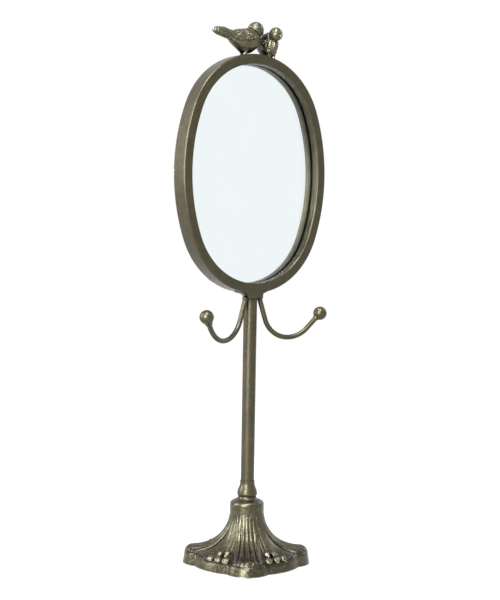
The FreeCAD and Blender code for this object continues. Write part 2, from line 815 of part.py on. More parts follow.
def oval(sketch, change=""):
    """A four-centre oval: the frame's outline, or one that keeps its four centres and differs by the
    change, such as ' - frame_face'. The side arcs' radius follows from the rest and tangency."""
    half_width = amount("oval_half_width" + change)
    half_height = amount("oval_half_height" + change)
    end = amount("oval_half_width - oval_end_ease" + change)
    rise = half_height - end
    side = ((half_width**2 + rise**2) - end**2) / (2 * (half_width - end))
    lean = math.atan2(rise, side - half_width)
    normal = Vector(0, 0, 1)
    centres = [(half_width - side, 0), (0, rise), (side - half_width, 0), (0, -rise)]
    radii = [side, end, side, end]
    turns = [-lean, lean, math.pi - lean, math.pi + lean, 2 * math.pi - lean]
    for place, (across, up) in enumerate(centres):
        ring = Part.Circle(Vector(across, up, 0), normal, radii[place])
        sketch.addGeometry(Part.ArcOfCircle(ring, turns[place], turns[place + 1]), False)
    for place in range(4):
        sketch.addConstraint(Sketcher.Constraint("Tangent", place, 2, (place + 1) % 4, 1))
    radius = sketch.addConstraint(Sketcher.Constraint("Radius", 1, end))
    sketch.setExpression(f"Constraints[{radius}]", named("oval_half_width - oval_end_ease" + change))
    sketch.addConstraint(Sketcher.Constraint("Equal", 1, 3))
    pin_coordinate(sketch, "DistanceX", 1, 3, "0")
    pin_coordinate(sketch, "DistanceY", 1, 3, "oval_half_height - oval_half_width + oval_end_ease")
    pin_coordinate(sketch, "DistanceX", 3, 3, "0")
    pin_coordinate(sketch, "DistanceY", 3, 3, "oval_half_width - oval_end_ease - oval_half_height")
    for place, sign in ((0, 1), (2, -1)):
        tip = sketch.addGeometry(Part.Point(Vector(sign * half_width, 0, 0)), True)
        pin_coordinate(sketch, "DistanceY", tip, 1, "0")
        across = sketch.addConstraint(Sketcher.Constraint("DistanceX", -1, 1, tip, 1, sign * half_width))
        sketch.setExpression(f"Constraints[{across}]", named(f"{sign} * ( oval_half_width{change} )"))
        sketch.addConstraint(Sketcher.Constraint("PointOnObject", tip, 1, place))


def upright(body, behind):
    """Stands a flat oval body up: its own height turns to depth, and behind is its rear plane's Y."""
    placed(body, ("0", behind, "felt_thickness + oval_centre"), ("0", "0", "90"))


def frame_envelope(name):
    """A deep oval block, a braze gap larger than the frame, that cuts the seats of what stands on it."""
    body = new_body(name)
    plan = new_sketch(body, f"{name}_plan")
    oval(plan, " + braze_gap")
    block = feature(body, "Pad", f"{name}_block", plan, Length="4 * frame_depth")
    block.SideType = "Symmetric"
    placed(body, ("0", "0", "oval_centre"), ("0", "0", "90"))
    return body


def rounded(body, name, target, height, inset, radius):
    """Rounds the four edges of one oval of the front face."""
    doc.recompute()
    reach = size("oval_half_width") - inset
    edges = []
    for place, edge in enumerate(target.Shape.Edges, start=1):
        box = edge.BoundBox
        level = abs(box.ZMin - height) < 0.01 and abs(box.ZMax - height) < 0.01
        middle = edge.valueAt((edge.FirstParameter + edge.LastParameter) / 2)
        end = size("oval_half_height") - inset
        on_oval = abs(abs(middle.x) - reach) < 0.01 or abs(abs(middle.y) - end) < 0.01
        if level and on_oval:
            edges.append(f"Edge{place}")
    made = body.newObject("PartDesign::Fillet", name)
    made.Base = (target, edges)
    bind(made, Radius=radius)
    body.Tip = made
    return made


def clip_stations():
    """Where the six clips stand on the middle of the rear wall: (across, up, outward angle)."""
    wall = "( frame_face - frame_rebate ) / 2"
    side = f"( oval_half_width - {wall} )"
    end = f"( oval_half_width - oval_end_ease - {wall} )"
    up = "( oval_half_height - oval_half_width + oval_end_ease )"
    stations = [(side, "0", "0"), (f"0 - {side}", "0", "180")]
    for across, rise, angle in ((1, 1, "clip_angle"), (-1, 1, "( 180 - clip_angle )"),
                                (-1, -1, "( 180 + clip_angle )"), (1, -1, "( 0 - clip_angle )")):
        stations.append((
            f"{across} * {end} * cos( clip_angle )",
            f"{rise} * ( {up} + {end} * sin( clip_angle ) )",
            angle,
        ))
    return stations


def on_rear_wall(thing, station, sunk="0"):
    """Stands a piece on the frame's rear face, or sunk into it, its own X pointing in over the panel."""
    across, up, angle = station
    spot = (across, f"frame_depth - frame_front - {sunk}", f"felt_thickness + oval_centre + {up}")
    placed(thing, spot, ("0", f"180 - {angle}", "-90"))
    return thing


def mirror_frame():
    """The deep oval ring: a rebate from behind for glass and panel, rounded front edges, screw holes."""
    body = new_body("frame_ring")
    outer = new_sketch(body, "frame_outer")
    oval(outer)
    feature(body, "Pad", "frame_blank", outer, Length="frame_depth")
    sight = new_sketch(body, "frame_sight", height="frame_depth")
    oval(sight, " - frame_face")
    opening = feature(body, "Pocket", "frame_opening", sight)
    opening.Type = "ThroughAll"
    rebate = new_sketch(body, "frame_rebate_plan", height="frame_depth - frame_lip")
    oval(rebate, " - frame_face + frame_rebate")
    seat = feature(body, "Pocket", "frame_seat", rebate, Length="frame_depth - frame_lip")
    front = size("frame_depth")
    edge = rounded(body, "outer_edge_round", seat, front, 0.0, "outer_round")
    rounded(body, "inner_edge_round", edge, front, size("frame_face"), "inner_round")
    upright(body, "frame_depth - frame_front")
    holes = []
    for place, station in enumerate(clip_stations()):
        hole = primitive("Cylinder", f"screw_hole_{place}", Radius="screw_diameter / 2 + screw_play")
        bind(hole, Height="screw_length")
        holes.append(on_rear_wall(hole, station, "screw_length"))
    frame = doc.addObject("Part::Cut", "mirror_frame")
    frame.Label = "mirror_frame"
    frame.Base = body
    frame.Tool = gathered("screw_holes", holes)
    return frame


def oval_sheet(label, thickness, rear):
    """A flat oval that lies in the rebate with an even play all round."""
    body = new_body(label)
    plan = new_sketch(body, f"{label}_plan")
    oval(plan, " - frame_face + frame_rebate - glass_play")
    feature(body, "Pad", f"{label}_sheet", plan, Length=thickness)
    upright(body, rear)
    return body


def mirror_glass():
    rear = "frame_lip - frame_front + glass_thickness"
    return oval_sheet("mirror_glass", "glass_thickness", rear)


def backing_card():
    rear = "frame_lip - frame_front + glass_thickness + card_thickness"
    return oval_sheet("backing_card", "card_thickness", rear)


def back_panel():
    rear = "frame_lip - frame_front + glass_thickness + card_thickness + panel_thickness"
    return oval_sheet("back_panel", "panel_thickness", rear)


def retaining_clips():
    """Bent steel strips, screwed to the rear wall, that step down onto the panel."""
    clips = []
    step = "glass_thickness + card_thickness + panel_thickness + frame_lip - frame_depth"
    inner = "frame_face / 2 - frame_rebate / 2 + clip_play"
    for place, station in enumerate(clip_stations()):
        body = new_body(f"clip_{place}")
        profile = new_sketch(body, f"clip_profile_{place}", "XZ_Plane")
        outline(
            profile,
            [
                ("0 - clip_heel", "0"),
                (inner, "0"),
                (inner, step),
                ("clip_reach", step),
                ("clip_reach", f"{step} + clip_thickness"),
                (f"{inner} + clip_thickness", f"{step} + clip_thickness"),
                (f"{inner} + clip_thickness", "clip_thickness"),
                ("0 - clip_heel", "clip_thickness"),
            ],
        )
        strip = feature(body, "Pad", f"clip_strip_{place}", profile, Length="clip_width")
        strip.SideType = "Symmetric"
        ring = new_sketch(body, f"clip_hole_ring_{place}", height="clip_thickness")
        circle(ring, "screw_diameter / 2 + screw_play")
        hole = feature(body, "Pocket", f"clip_hole_{place}", ring)
        hole.Type = "ThroughAll"
        clips.append(on_rear_wall(body, station))
    return gathered("retaining_clips", clips)


def clip_screws():
    """Small pan-head screws through the clips into the rear wall."""
    screws = []
    for place, station in enumerate(clip_stations()):
        body = new_body(f"screw_{place}")
        profile = new_sketch(body, f"screw_profile_{place}", "XZ_Plane")
        outline(
            profile,
            [
                ("0", "clip_thickness - screw_length"),
                ("screw_diameter / 2", "clip_thickness - screw_length"),
                ("screw_diameter / 2", "clip_thickness"),
                ("screw_head / 2", "clip_thickness"),
                ("screw_head / 2", "clip_thickness + screw_head_height - screw_head_round",
                 "screw_head_round", 1),
                ("screw_head / 2 - screw_head_round", "clip_thickness + screw_head_height"),
                ("0", "clip_thickness + screw_head_height"),
            ],
        )
        turned(body, "Revolution", f"screw_turned_{place}", profile)
        screws.append(on_rear_wall(body, station))
    return gathered("clip_screws", screws)


# ---- birds ----

# Sections of a perched bird from tail end to breast: distance ahead of the legs, lowest and highest
# point above the perch, and half width. The perch is the frame's outer face under the legs.
LEFT_BIRD = [
    (-35.5, 18.5, 20.3, 1.3),
    (-34.5, 17.2, 21.3, 2.8),
    (-32.2, 16.0, 22.2, 3.8),
    (-27.0, 14.6, 22.6, 4.1),
    (-21.5, 13.3, 22.6, 4.0),
    (-17.8, 12.3, 21.6, 4.2),
    (-14.3, 9.2, 20.8, 5.2),
    (-9.0, 4.8, 22.0, 7.3),
    (-2.5, 1.4, 23.4, 8.7),
    (4.0, 1.3, 24.9, 8.9),
    (9.5, 2.6, 25.0, 8.3),
    (13.5, 5.4, 23.2, 7.0),
    (15.9, 9.0, 20.0, 4.2),
    (16.9, 12.2, 17.2, 1.9),
]
RIGHT_BIRD = [
    (-31.8, 16.5, 18.1, 1.2),
    (-30.9, 15.5, 19.0, 2.5),
    (-28.8, 14.5, 19.8, 3.4),
    (-24.0, 13.2, 19.9, 3.7),
    (-19.0, 12.0, 20.0, 3.6),
    (-15.8, 11.0, 19.4, 3.8),
    (-12.7, 6.0, 20.0, 5.4),
    (-8.0, 1.9, 22.0, 7.6),
    (-2.4, 0.7, 23.9, 8.3),
    (2.7, 0.7, 24.4, 7.1),
    (6.8, 2.6, 23.5, 5.2),
    (9.4, 5.6, 21.4, 3.8),
    (10.9, 8.8, 18.4, 2.3),
    (11.5, 11.2, 16.0, 1.1),
]


def ellipse_wire(ahead, low, high, half_width):
    """An upright elliptical section across the bird."""
    centre = Vector(ahead, 0, (low + high) / 2)
    up = Vector(0, 0, (high - low) / 2)
    across = Vector(0, half_width, 0)
    if up.Length >= half_width:
        return Part.Wire(Part.Ellipse(centre + up, centre + across, centre).toShape())
    return Part.Wire(Part.Ellipse(centre + across, centre + up, centre).toShape())


def bird_form(sections, leg_ahead, head_reach, head_rise, head_diameter):
    """Body and tail as one loft, with the head, the beak and the legs joined to it."""
    body = Part.makeLoft([ellipse_wire(*section) for section in sections], True, False)
    head = Part.makeSphere(head_diameter / 2, Vector(head_reach, 0, head_rise))
    root = Vector(head_reach + size("beak_reach") * head_diameter, 0,
                  head_rise - size("beak_drop") * head_diameter)
    beak = Part.makeCone(size("beak_root") * head_diameter, size("beak_tip") * head_diameter,
                         size("beak_length") * head_diameter, root, Vector(1, 0, -size("beak_dip")))
    pieces = [head, beak]
    for side in (LEFT, RIGHT):
        foot = Vector(leg_ahead, side * size("bird_stance"), -size("frame_depth"))
        pieces.append(Part.makeCylinder(size("bird_leg"), size("frame_depth") + size("bird_leg_top"), foot))
    return body.fuse(pieces)


def perch_height(across):
    """Height of the frame's outer face above the oval's centre, at a distance from the middle."""
    end = size("oval_half_width") - size("oval_end_ease")
    return size("oval_half_height") - end + math.sqrt(end**2 - across**2)


def bird(label, sections, yaw):
    """A cast bird seated on the frame: its form, turned and cut to the frame's curve."""
    spots = [size(f"{label}_{spot}") for spot in ("leg_ahead", "head_reach", "head_rise", "head")]
    form = bird_form(sections, *spots)
    form.rotate(Vector(0, 0, 0), Vector(0, 0, 1), yaw)
    perch = size(f"{label}_x")
    form.translate(Vector(perch, 0, size("oval_centre") + perch_height(perch)))
    rough = shaped(f"{label}_form", form)
    seated = combined("Cut", label, rough, frame_envelope(f"{label}_seat"))
    placed(seated, ("0", "0", "felt_thickness"))
    return seated


# ---- the whole ----


def model():
    """Every sub-part, each of them one node."""
    return [
        base_casting(),
        foot_pads(),
        base_bolt(),
        base_washer(),
        post_insert(),
        collar(),
        post_tube(),
        neck_block(),
        hook_arm(LEFT),
        hook_arm(RIGHT),
        hook_ball(LEFT),
        hook_ball(RIGHT),
        mirror_frame(),
        mirror_glass(),
        backing_card(),
        back_panel(),
        retaining_clips(),
        clip_screws(),
        bird("bird_left", LEFT_BIRD, 0),
        bird("bird_right", RIGHT_BIRD, -90),
    ]


def check(parts):
    """Stops if any object failed to compute or any sub-part has no sound shape."""
    for thing in doc.Objects:
        if "Invalid" in thing.State or "Error" in thing.State:
            raise RuntimeError(f"{thing.Label} did not compute: {thing.State}")
    for part in parts:
        if part.Shape.isNull() or not part.Shape.isValid():
            raise RuntimeError(f"{part.Label} has no valid shape")


doc = FreeCAD.newDocument("OvalMirror")
sheet = make_sheet(doc)
sub_parts = model()
doc.recompute()
check(sub_parts)
os.makedirs("parts", exist_ok=True)
for part in sub_parts:
    part.Shape.exportStep(f"parts/{part.Label}.step")
    print(part.Label, len(part.Shape.Solids), round(part.Shape.Volume, 1))
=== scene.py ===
import json
import math
import bmesh
import bpy
from mathutils import Matrix, Vector, noise
from mathutils.bvhtree import BVHTree


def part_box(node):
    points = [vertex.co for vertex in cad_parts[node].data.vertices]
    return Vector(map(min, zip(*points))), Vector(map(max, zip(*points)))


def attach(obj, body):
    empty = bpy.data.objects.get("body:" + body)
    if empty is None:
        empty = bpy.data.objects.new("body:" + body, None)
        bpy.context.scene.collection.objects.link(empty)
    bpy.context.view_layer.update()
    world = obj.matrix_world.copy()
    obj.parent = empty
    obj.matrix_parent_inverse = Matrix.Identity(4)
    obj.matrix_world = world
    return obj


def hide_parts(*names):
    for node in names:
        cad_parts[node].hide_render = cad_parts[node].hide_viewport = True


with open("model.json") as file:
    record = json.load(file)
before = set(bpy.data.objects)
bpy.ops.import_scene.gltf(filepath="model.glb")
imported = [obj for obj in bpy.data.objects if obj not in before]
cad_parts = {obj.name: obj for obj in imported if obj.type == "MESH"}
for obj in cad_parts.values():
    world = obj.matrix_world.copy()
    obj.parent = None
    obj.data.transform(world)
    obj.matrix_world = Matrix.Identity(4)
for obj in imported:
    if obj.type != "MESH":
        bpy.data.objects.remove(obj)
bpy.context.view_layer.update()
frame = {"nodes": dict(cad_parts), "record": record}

# An oval table mirror on a slim post: cast base with reeded leaves and berries, turned collar, two
# jewellery hooks, deep oval frame, silvered glass and two cast birds, all under antique bronze paint.

MM = 0.001
WELD = 0.0001     # vertices closer than this are one, millimetres


def rgb(text):
    """Turns an sRGB hex colour to the linear values that shaders take."""
    parts = [int(text[place:place + 2], 16) / 255 for place in (1, 3, 5)]
    linear = [part / 12.92 if part <= 0.04045 else ((part + 0.055) / 1.055) ** 2.4 for part in parts]
    return (*linear, 1.0)


def add_node(tree, kind, links=None, **settings):
    """Adds a node with its settings; links maps an input's name or number to a value or an output."""
    node = tree.nodes.new(kind)
    for name, value in settings.items():
        setattr(node, name, value)
    for key, value in (links or {}).items():
        socket = node.inputs[key]
        if isinstance(value, bpy.types.NodeSocket):
            tree.links.new(value, socket)
        else:
            socket.default_value = value
    return node


# ---- camera ----

CAMERA_PLACE = (-0.7577, -0.9692, 0.3109)     # metres
CAMERA_YAW = 38.0      # how far it stands to the left of straight in front, degrees
CAMERA_DIP = 2.85      # how far it looks down, degrees
CAMERA_ROLL = 0.965    # how far it is tilted, degrees
CAMERA_LENS = 78.66    # millimetres, on a frame SENSOR wide
SENSOR = 36


def add_camera():
    """A long lens a little above the table's middle, to the left of the glass."""
    yaw, dip, roll = (math.radians(angle) for angle in (CAMERA_YAW, CAMERA_DIP, CAMERA_ROLL))
    back = Vector((-math.sin(yaw), -math.cos(yaw), 0))
    level = Vector((math.cos(yaw), -math.sin(yaw), 0))
    rear = back * math.cos(dip) + Vector((0, 0, math.sin(dip)))
    above = Vector((0, 0, math.cos(dip))) - back * math.sin(dip)
    right = level * math.cos(roll) + above * math.sin(roll)
    up = above * math.cos(roll) - level * math.sin(roll)
    data = bpy.data.cameras.new("camera")
    data.sensor_width = SENSOR
    data.sensor_fit = "AUTO"
    data.lens = CAMERA_LENS
    data.clip_start = 0.01
    camera = bpy.data.objects.new("camera", data)
    turn = Matrix((right, up, rear)).transposed().to_4x4()
    camera.matrix_world = Matrix.Translation(CAMERA_PLACE) @ turn
    bpy.context.scene.collection.objects.link(camera)
    bpy.context.scene.camera = camera


# ---- light and floor ----

DAYLIGHT = (0.94, 0.965, 1.0)     # the lamps are a little cooler than the room
# Each lamp: place, target, width and height in metres, then its watts.
LAMPS = {
    "key": ((-1.5, -0.88, 0.8), (0, 0, 0.33), (0.9, 1.3), 76),
    "side": ((-1.4, 0.9, 0.9), (0, 0, 0.33), (0.6, 1.3), 32),
    "top": ((-0.5, -0.6, 1.7), (0, 0, 0.1), (0.7, 0.7), 44),
    "fill": ((1.8, 0.1, 1.0), (0, 0, 0.25), (0.9, 0.9), 5),
}
ROOM_LIGHT = 0.33     # strength of the white room on the object
TABLE_HALF = 3.0      # half width of the table top, metres
TABLE_GLOW = 0.95     # its own white where it is seen, so that only the shadow is darker


def area_light(name, place, target, size, watts):
    """A soft rectangular lamp that faces its target."""
    data = bpy.data.lights.new(name, "AREA")
    data.shape = "RECTANGLE"
    data.size, data.size_y = size
    data.energy = watts
    data.color = DAYLIGHT
    light = bpy.data.objects.new(name, data)
    aim = Vector(target) - Vector(place)
    light.rotation_euler = aim.to_track_quat("-Z", "Y").to_euler()
    light.location = place
    bpy.context.scene.collection.objects.link(light)


def seen_directly(tree):
    """Is 1 for the rays that show a background: straight, mirrored or through glass."""
    path = add_node(tree, "ShaderNodeLightPath")
    mirrored = add_node(tree, "ShaderNodeMath",
                        {0: path.outputs["Is Glossy Ray"], 1: path.outputs["Is Transmission Ray"]},
                        operation="MAXIMUM")
    seen = add_node(tree, "ShaderNodeMath", {0: path.outputs["Is Camera Ray"], 1: mirrored.outputs[0]},
                    operation="MAXIMUM")
    return seen.outputs[0]


def add_light():
    """Studio light: three lamps from the left and above, a weak one from the right, a white room."""
    for name, facts in LAMPS.items():
        area_light(name, *facts)
    world = bpy.data.worlds.new("room")
    bpy.context.scene.world = world
    world.use_nodes = True
    tree = world.node_tree
    tree.nodes.clear()
    room = add_node(tree, "ShaderNodeBackground", {"Color": rgb("#ffffff"), "Strength": ROOM_LIGHT})
    white = add_node(tree, "ShaderNodeBackground", {"Color": rgb("#ffffff"), "Strength": 1.0})
    mixed = add_node(tree, "ShaderNodeMixShader", {0: seen_directly(tree), 1: room.outputs[0],
                                                   2: white.outputs[0]})
    add_node(tree, "ShaderNodeOutputWorld", {"Surface": mixed.outputs[0]})


def add_floor():
    """A plain white table top that shows as white and still takes the base's soft shadow."""
    mesh = bpy.data.meshes.new("floor")
    corners = [(-TABLE_HALF, -TABLE_HALF, 0), (TABLE_HALF, -TABLE_HALF, 0),
               (TABLE_HALF, TABLE_HALF, 0), (-TABLE_HALF, TABLE_HALF, 0)]
    mesh.from_pydata(corners, [], [(0, 1, 2, 3)])
    floor = bpy.data.objects.new("floor", mesh)
    bpy.context.scene.collection.objects.link(floor)
    material = bpy.data.materials.new("white_table")
    material.use_nodes = True
    tree = material.node_tree
    tree.nodes.clear()
    pale = add_node(tree, "ShaderNodeBsdfDiffuse", {"Color": rgb("#d8d8d8")})
    shaded = add_node(tree, "ShaderNodeBsdfDiffuse", {"Color": rgb("#707070")})
    glow = add_node(tree, "ShaderNodeEmission", {"Color": rgb("#ffffff"), "Strength": TABLE_GLOW})
    white = add_node(tree, "ShaderNodeAddShader", {0: shaded.outputs[0], 1: glow.outputs[0]})
    mixed = add_node(tree, "ShaderNodeMixShader", {0: seen_directly(tree), 1: pale.outputs[0],
                                                   2: white.outputs[0]})
    add_node(tree, "ShaderNodeOutputMaterial", {"Surface": mixed.outputs[0]})
    mesh.materials.append(material)


# ---- finishes ----

CLOUD = 9.0                # width of a cloud in the hand-wiped glaze, millimetres
FOOT = (12.0, 23.0)        # heights of the painted shade low on the base: full below the first, none above
FOOT_SHADE = 0.5           # how much of the dark colour that painted shade has there, on faces that look up
LOOKS_UP = (0.15, 0.5)     # upward part of a face's normal where that painted shade starts and where it is full
OPEN = (0.92, 0.45)        # how open a hollow is where it starts to darken and where it is full: partly the paint's dark wash, partly painted shade
WEAR_AND_HIGHLIGHT = (0.58, 0.3)         # how solid an edge is inside where it starts to turn pale and where it is full: partly rubbed wear, partly painted highlight
WEAR_AND_HIGHLIGHT_MOST = 0.5          # how much of the pale colour an edge gets at most
CLOUD_GLAZE = 0.25         # how much of the glaze colour a cloud has at most
PAINT_METAL = 0.85         # metal flake in a clear binder
LACQUER = (0.15, 0.18)     # weight and roughness of the satin lacquer over it


def new_material(name):
    """A material with its node tree and its shader."""
    material = bpy.data.materials.new(name)
    material.use_nodes = True
    tree = material.node_tree
    return material, tree, tree.nodes["Principled BSDF"]


def antique_paint(name, body, wash_and_shade, pale_wear_and_highlight, grain, relief, gloss, glint_share, reach, wear_and_highlight_reach):
    """Metallic bronze paint under a satin lacquer: darker in the hollows and low on the base, paler at
    high edges.

    The dark in the hollows is partly the paint's dark wash and partly painted shade; the dark low on the
    base, on faces that look up, is painted shade.
    The pale at high edges is partly wear from rubbing and partly painted highlight, and the paler tops
    of the grains are painted glints.
    grain is the width of a grain of the metal's skin, relief its height, reach how wide a hollow is
    still darkened and wear_and_highlight_reach how far from an edge the paint turns pale, all in
    millimetres. gloss is the roughness, and glint_share is how much paler the tops of the grains are.
    """
    material, tree, shader = new_material(name)
    place = add_node(tree, "ShaderNodeTexCoord").outputs["Object"]
    grit = add_node(tree, "ShaderNodeTexNoise", {"Vector": place, "Scale": 1 / (grain * MM),
                                                 "Detail": 3.0, "Roughness": 0.6}).outputs["Fac"]
    cloud = add_node(tree, "ShaderNodeTexNoise", {"Vector": place, "Scale": 1 / (CLOUD * MM),
                                                  "Detail": 3.0}).outputs["Fac"]
    hollow = add_node(tree, "ShaderNodeAmbientOcclusion", {"Distance": reach * MM},
                      samples=8).outputs["AO"]
    edge = add_node(tree, "ShaderNodeAmbientOcclusion", {"Distance": wear_and_highlight_reach * MM}, samples=8, inside=True,
                    only_local=True).outputs["AO"]
    # Hollows are darkened towards the dark colour: partly the paint's dark wash, partly painted shade.
    hollow_wash_and_shade = add_node(tree, "ShaderNodeMapRange", {"Value": hollow, "From Min": OPEN[0],
                                                 "From Max": OPEN[1]}).outputs[0]
    # High edges turn pale: partly wear from rubbing, partly painted highlight.
    wear_and_highlight = add_node(tree, "ShaderNodeMapRange", {"Value": edge, "From Min": WEAR_AND_HIGHLIGHT[0],
                                                 "From Max": WEAR_AND_HIGHLIGHT[1], "To Max": WEAR_AND_HIGHLIGHT_MOST}).outputs[0]
    patchy = add_node(tree, "ShaderNodeMapRange", {"Value": cloud, "From Min": 0.35, "From Max": 0.65,
                                                   "To Min": 0.0, "To Max": CLOUD_GLAZE}).outputs[0]
    # Painted shade: darker low on the base, on faces that look up.
    height = add_node(tree, "ShaderNodeSeparateXYZ", {0: place}).outputs[2]
    normal = add_node(tree, "ShaderNodeNewGeometry").outputs["Normal"]
    up = add_node(tree, "ShaderNodeSeparateXYZ", {0: normal}).outputs[2]
    foot = add_node(tree, "ShaderNodeMapRange", {"Value": height, "From Min": FOOT[1] * MM,
                                                 "From Max": FOOT[0] * MM, "To Min": 0.0,
                                                 "To Max": FOOT_SHADE}).outputs[0]
    upward = add_node(tree, "ShaderNodeMapRange", {"Value": up, "From Min": LOOKS_UP[0],
                                                   "From Max": LOOKS_UP[1]}).outputs[0]
    foot_shade_and_hollows = add_node(tree, "ShaderNodeMath", {0: foot, 1: upward, 2: hollow_wash_and_shade},
                   operation="MULTIPLY_ADD").outputs[0]
    wash_and_painted_shade = add_node(tree, "ShaderNodeMath", {0: foot_shade_and_hollows, 1: patchy},
                    operation="ADD", use_clamp=True).outputs[0]
    # The body colour darkened by the dark wash in hollows, the painted shade and the random clouds.
    washed_and_shaded = add_node(tree, "ShaderNodeMix", {0: wash_and_painted_shade, 6: rgb(body), 7: rgb(wash_and_shade)},
                      data_type="RGBA").outputs[2]
    # Painted glints: the tops of the grains are paler.
    grain_glints = add_node(tree, "ShaderNodeMapRange", {"Value": grit, "From Min": 0.54, "From Max": 0.7,
                                                   "To Min": 0.0, "To Max": glint_share}).outputs[0]
    pale = add_node(tree, "ShaderNodeMath", {0: wear_and_highlight, 1: grain_glints},
                    operation="ADD", use_clamp=True).outputs[0]
    # The pale colour goes on the high edges, partly wear and partly painted highlight, and on the grain
    # tops as painted glints.
    colour = add_node(tree, "ShaderNodeMix", {0: pale, 6: washed_and_shaded, 7: rgb(pale_wear_and_highlight)},
                      data_type="RGBA").outputs[2]
    rough = add_node(tree, "ShaderNodeMapRange", {"Value": grit, "From Min": 0.3, "From Max": 0.7,
                                                  "To Min": gloss - 0.05,
                                                  "To Max": gloss + 0.12}).outputs[0]
    bump = add_node(tree, "ShaderNodeBump", {"Strength": 1.0, "Distance": relief * MM, "Height": grit})
    tree.links.new(colour, shader.inputs["Base Color"])
    tree.links.new(rough, shader.inputs["Roughness"])
    tree.links.new(bump.outputs[0], shader.inputs["Normal"])
    tree.links.new(bump.outputs[0], shader.inputs["Coat Normal"])
    shader.inputs["Metallic"].default_value = PAINT_METAL
    shader.inputs["Coat Weight"].default_value = LACQUER[0]
    shader.inputs["Coat Roughness"].default_value = LACQUER[1]
    return material


def plain_finish(name, dark, light, grain, relief, rough, metallic=0.0):
    """One even material with a fine grain in its colour and its surface, sizes in millimetres."""
    material, tree, shader = new_material(name)
    place = add_node(tree, "ShaderNodeTexCoord").outputs["Object"]
    grit = add_node(tree, "ShaderNodeTexNoise", {"Vector": place, "Scale": 1 / (grain * MM),
                                                 "Detail": 4.0, "Roughness": 0.6}).outputs["Fac"]
    shade = add_node(tree, "ShaderNodeMapRange", {"Value": grit, "From Min": 0.3, "From Max": 0.7,
                                                  "To Min": 0.0, "To Max": 1.0}).outputs[0]
    colour = add_node(tree, "ShaderNodeMix", {0: shade, 6: rgb(dark), 7: rgb(light)},
                      data_type="RGBA").outputs[2]
    bump = add_node(tree, "ShaderNodeBump", {"Strength": 1.0, "Distance": relief * MM, "Height": grit})
    tree.links.new(colour, shader.inputs["Base Color"])
    tree.links.new(bump.outputs[0], shader.inputs["Normal"])
    shader.inputs["Roughness"].default_value = rough
    shader.inputs["Metallic"].default_value = metallic
    return material


def float_glass():
    """Clear float glass, 3 mm: it carries no colour of its own beyond a breath of green at the edge."""
    material, _, shader = new_material("float_glass")
    shader.inputs["Base Color"].default_value = rgb("#f6fbfa")
    shader.inputs["Roughness"].default_value = 0.0
    shader.inputs["IOR"].default_value = 1.5
    shader.inputs["Transmission Weight"].default_value = 1.0
    return material


def silver_coat():
    """Wet silvering on the back of the glass: a bright even mirror with a cool cast."""
    material, tree, shader = new_material("silver_coat")
    place = add_node(tree, "ShaderNodeTexCoord").outputs["Object"]
    haze = add_node(tree, "ShaderNodeTexNoise", {"Vector": place, "Scale": 1 / (60 * MM),
                                                 "Detail": 1.0}).outputs["Fac"]
    colour = add_node(tree, "ShaderNodeMix", {0: haze, 6: rgb("#f5f9fb"), 7: rgb("#f8fbfd")},
                      data_type="RGBA").outputs[2]
    tree.links.new(colour, shader.inputs["Base Color"])
    shader.inputs["Roughness"].default_value = 0.0
    shader.inputs["Metallic"].default_value = 1.0
    return material


# Each paint: body colour, dark colour (partly dark wash, partly painted shade) and pale colour (partly
# wear, partly painted highlight), then grain, relief, gloss, glints, reach and pale-edge reach.
PAINTS = {
    # Sand-cast metal of the base: its grain is about 0.6 mm wide, drawn at 2.6 mm so that it shows.
    "cast_paint": ("#4a4633", "#160f07", "#c8c5b4", 2.6, 0.14, 0.28, 0.1, 6.5, 2.6),
    # The same on the birds, paler, with wider pale edges and darker, wider hollows: the pale partly wear
    # and partly painted highlight, the dark partly dark wash and partly painted shade; drawn at 2.4 mm.
    "bird_paint": ("#57533f", "#0b0703", "#dad7c8", 2.4, 0.1, 0.27, 0.12, 10.0, 3.4),
    # The same on the berries, paler and with more of the pale edge colour: partly wear on these high
    # spots and partly painted highlight; drawn at 2.2 mm.
    "rubbed_paint": ("#827e66", "#1b140a", "#cfccb9", 2.2, 0.2, 0.3, 0.16, 4.0, 1.0),
    # Drawn tube, rod and turned metal: no grain, only the flow of the paint, about 3 mm wide.
    "smooth_paint": ("#474331", "#16120a", "#88846c", 3.2, 0.012, 0.33, 0.02, 4.5, 0.4),
    # The smooth face and sides of the frame: only the flow of the paint, about 3 mm wide.
    "frame_paint": ("#45402f", "#1d190f", "#8b8872", 3.0, 0.04, 0.34, 0.03, 4.5, 0.8),
}


def make_finishes():
    """Every finish by its slot's name, with two more paints for pieces made here."""
    made = {name: antique_paint(name, *facts) for name, facts in PAINTS.items()}
    made["silver_coat"] = silver_coat()
    made["mirror_glass"] = float_glass()
    # Grey pulp card: fibres in clumps about 0.8 mm wide.
    made["card"] = plain_finish("grey_card", "#8d8573", "#a69c87", 0.8, 0.02, 0.9)
    # Painted hardboard: pressed fibres about 1.2 mm apart under a thin black coat.
    made["panel_board"] = plain_finish("painted_hardboard", "#1a1815", "#26231f", 1.2, 0.05, 0.55)
    # Zinc plate: its crystals are too fine to show and are drawn 1.6 mm wide.
    made["plated_steel"] = plain_finish("zinc_plate", "#a9a89f", "#c9c8c0", 1.6, 0.01, 0.34, 1.0)
    # Pressed felt: tufts of fibre about 0.5 mm wide.
    made["felt"] = plain_finish("pressed_felt", "#121212", "#242322", 0.5, 0.12, 0.95)
    return made


# ---- pieces ----

SHARP = 38     # edges sharper than this stay sharp under smooth shading, degrees


def merged_copy(node):
    """A welded copy of a CAD node's mesh, in a bmesh."""
    form = bmesh.new()
    form.from_mesh(frame["nodes"][node].data)
    bmesh.ops.remove_doubles(form, verts=form.verts, dist=WELD * MM)
    return form


def smooth_step(low, high, value):
    """Eases from 0 at low to 1 at high, which may be the smaller of the two."""
    share = min(max((value - low) / (high - low), 0.0), 1.0)
    return share * share * (3 - 2 * share)


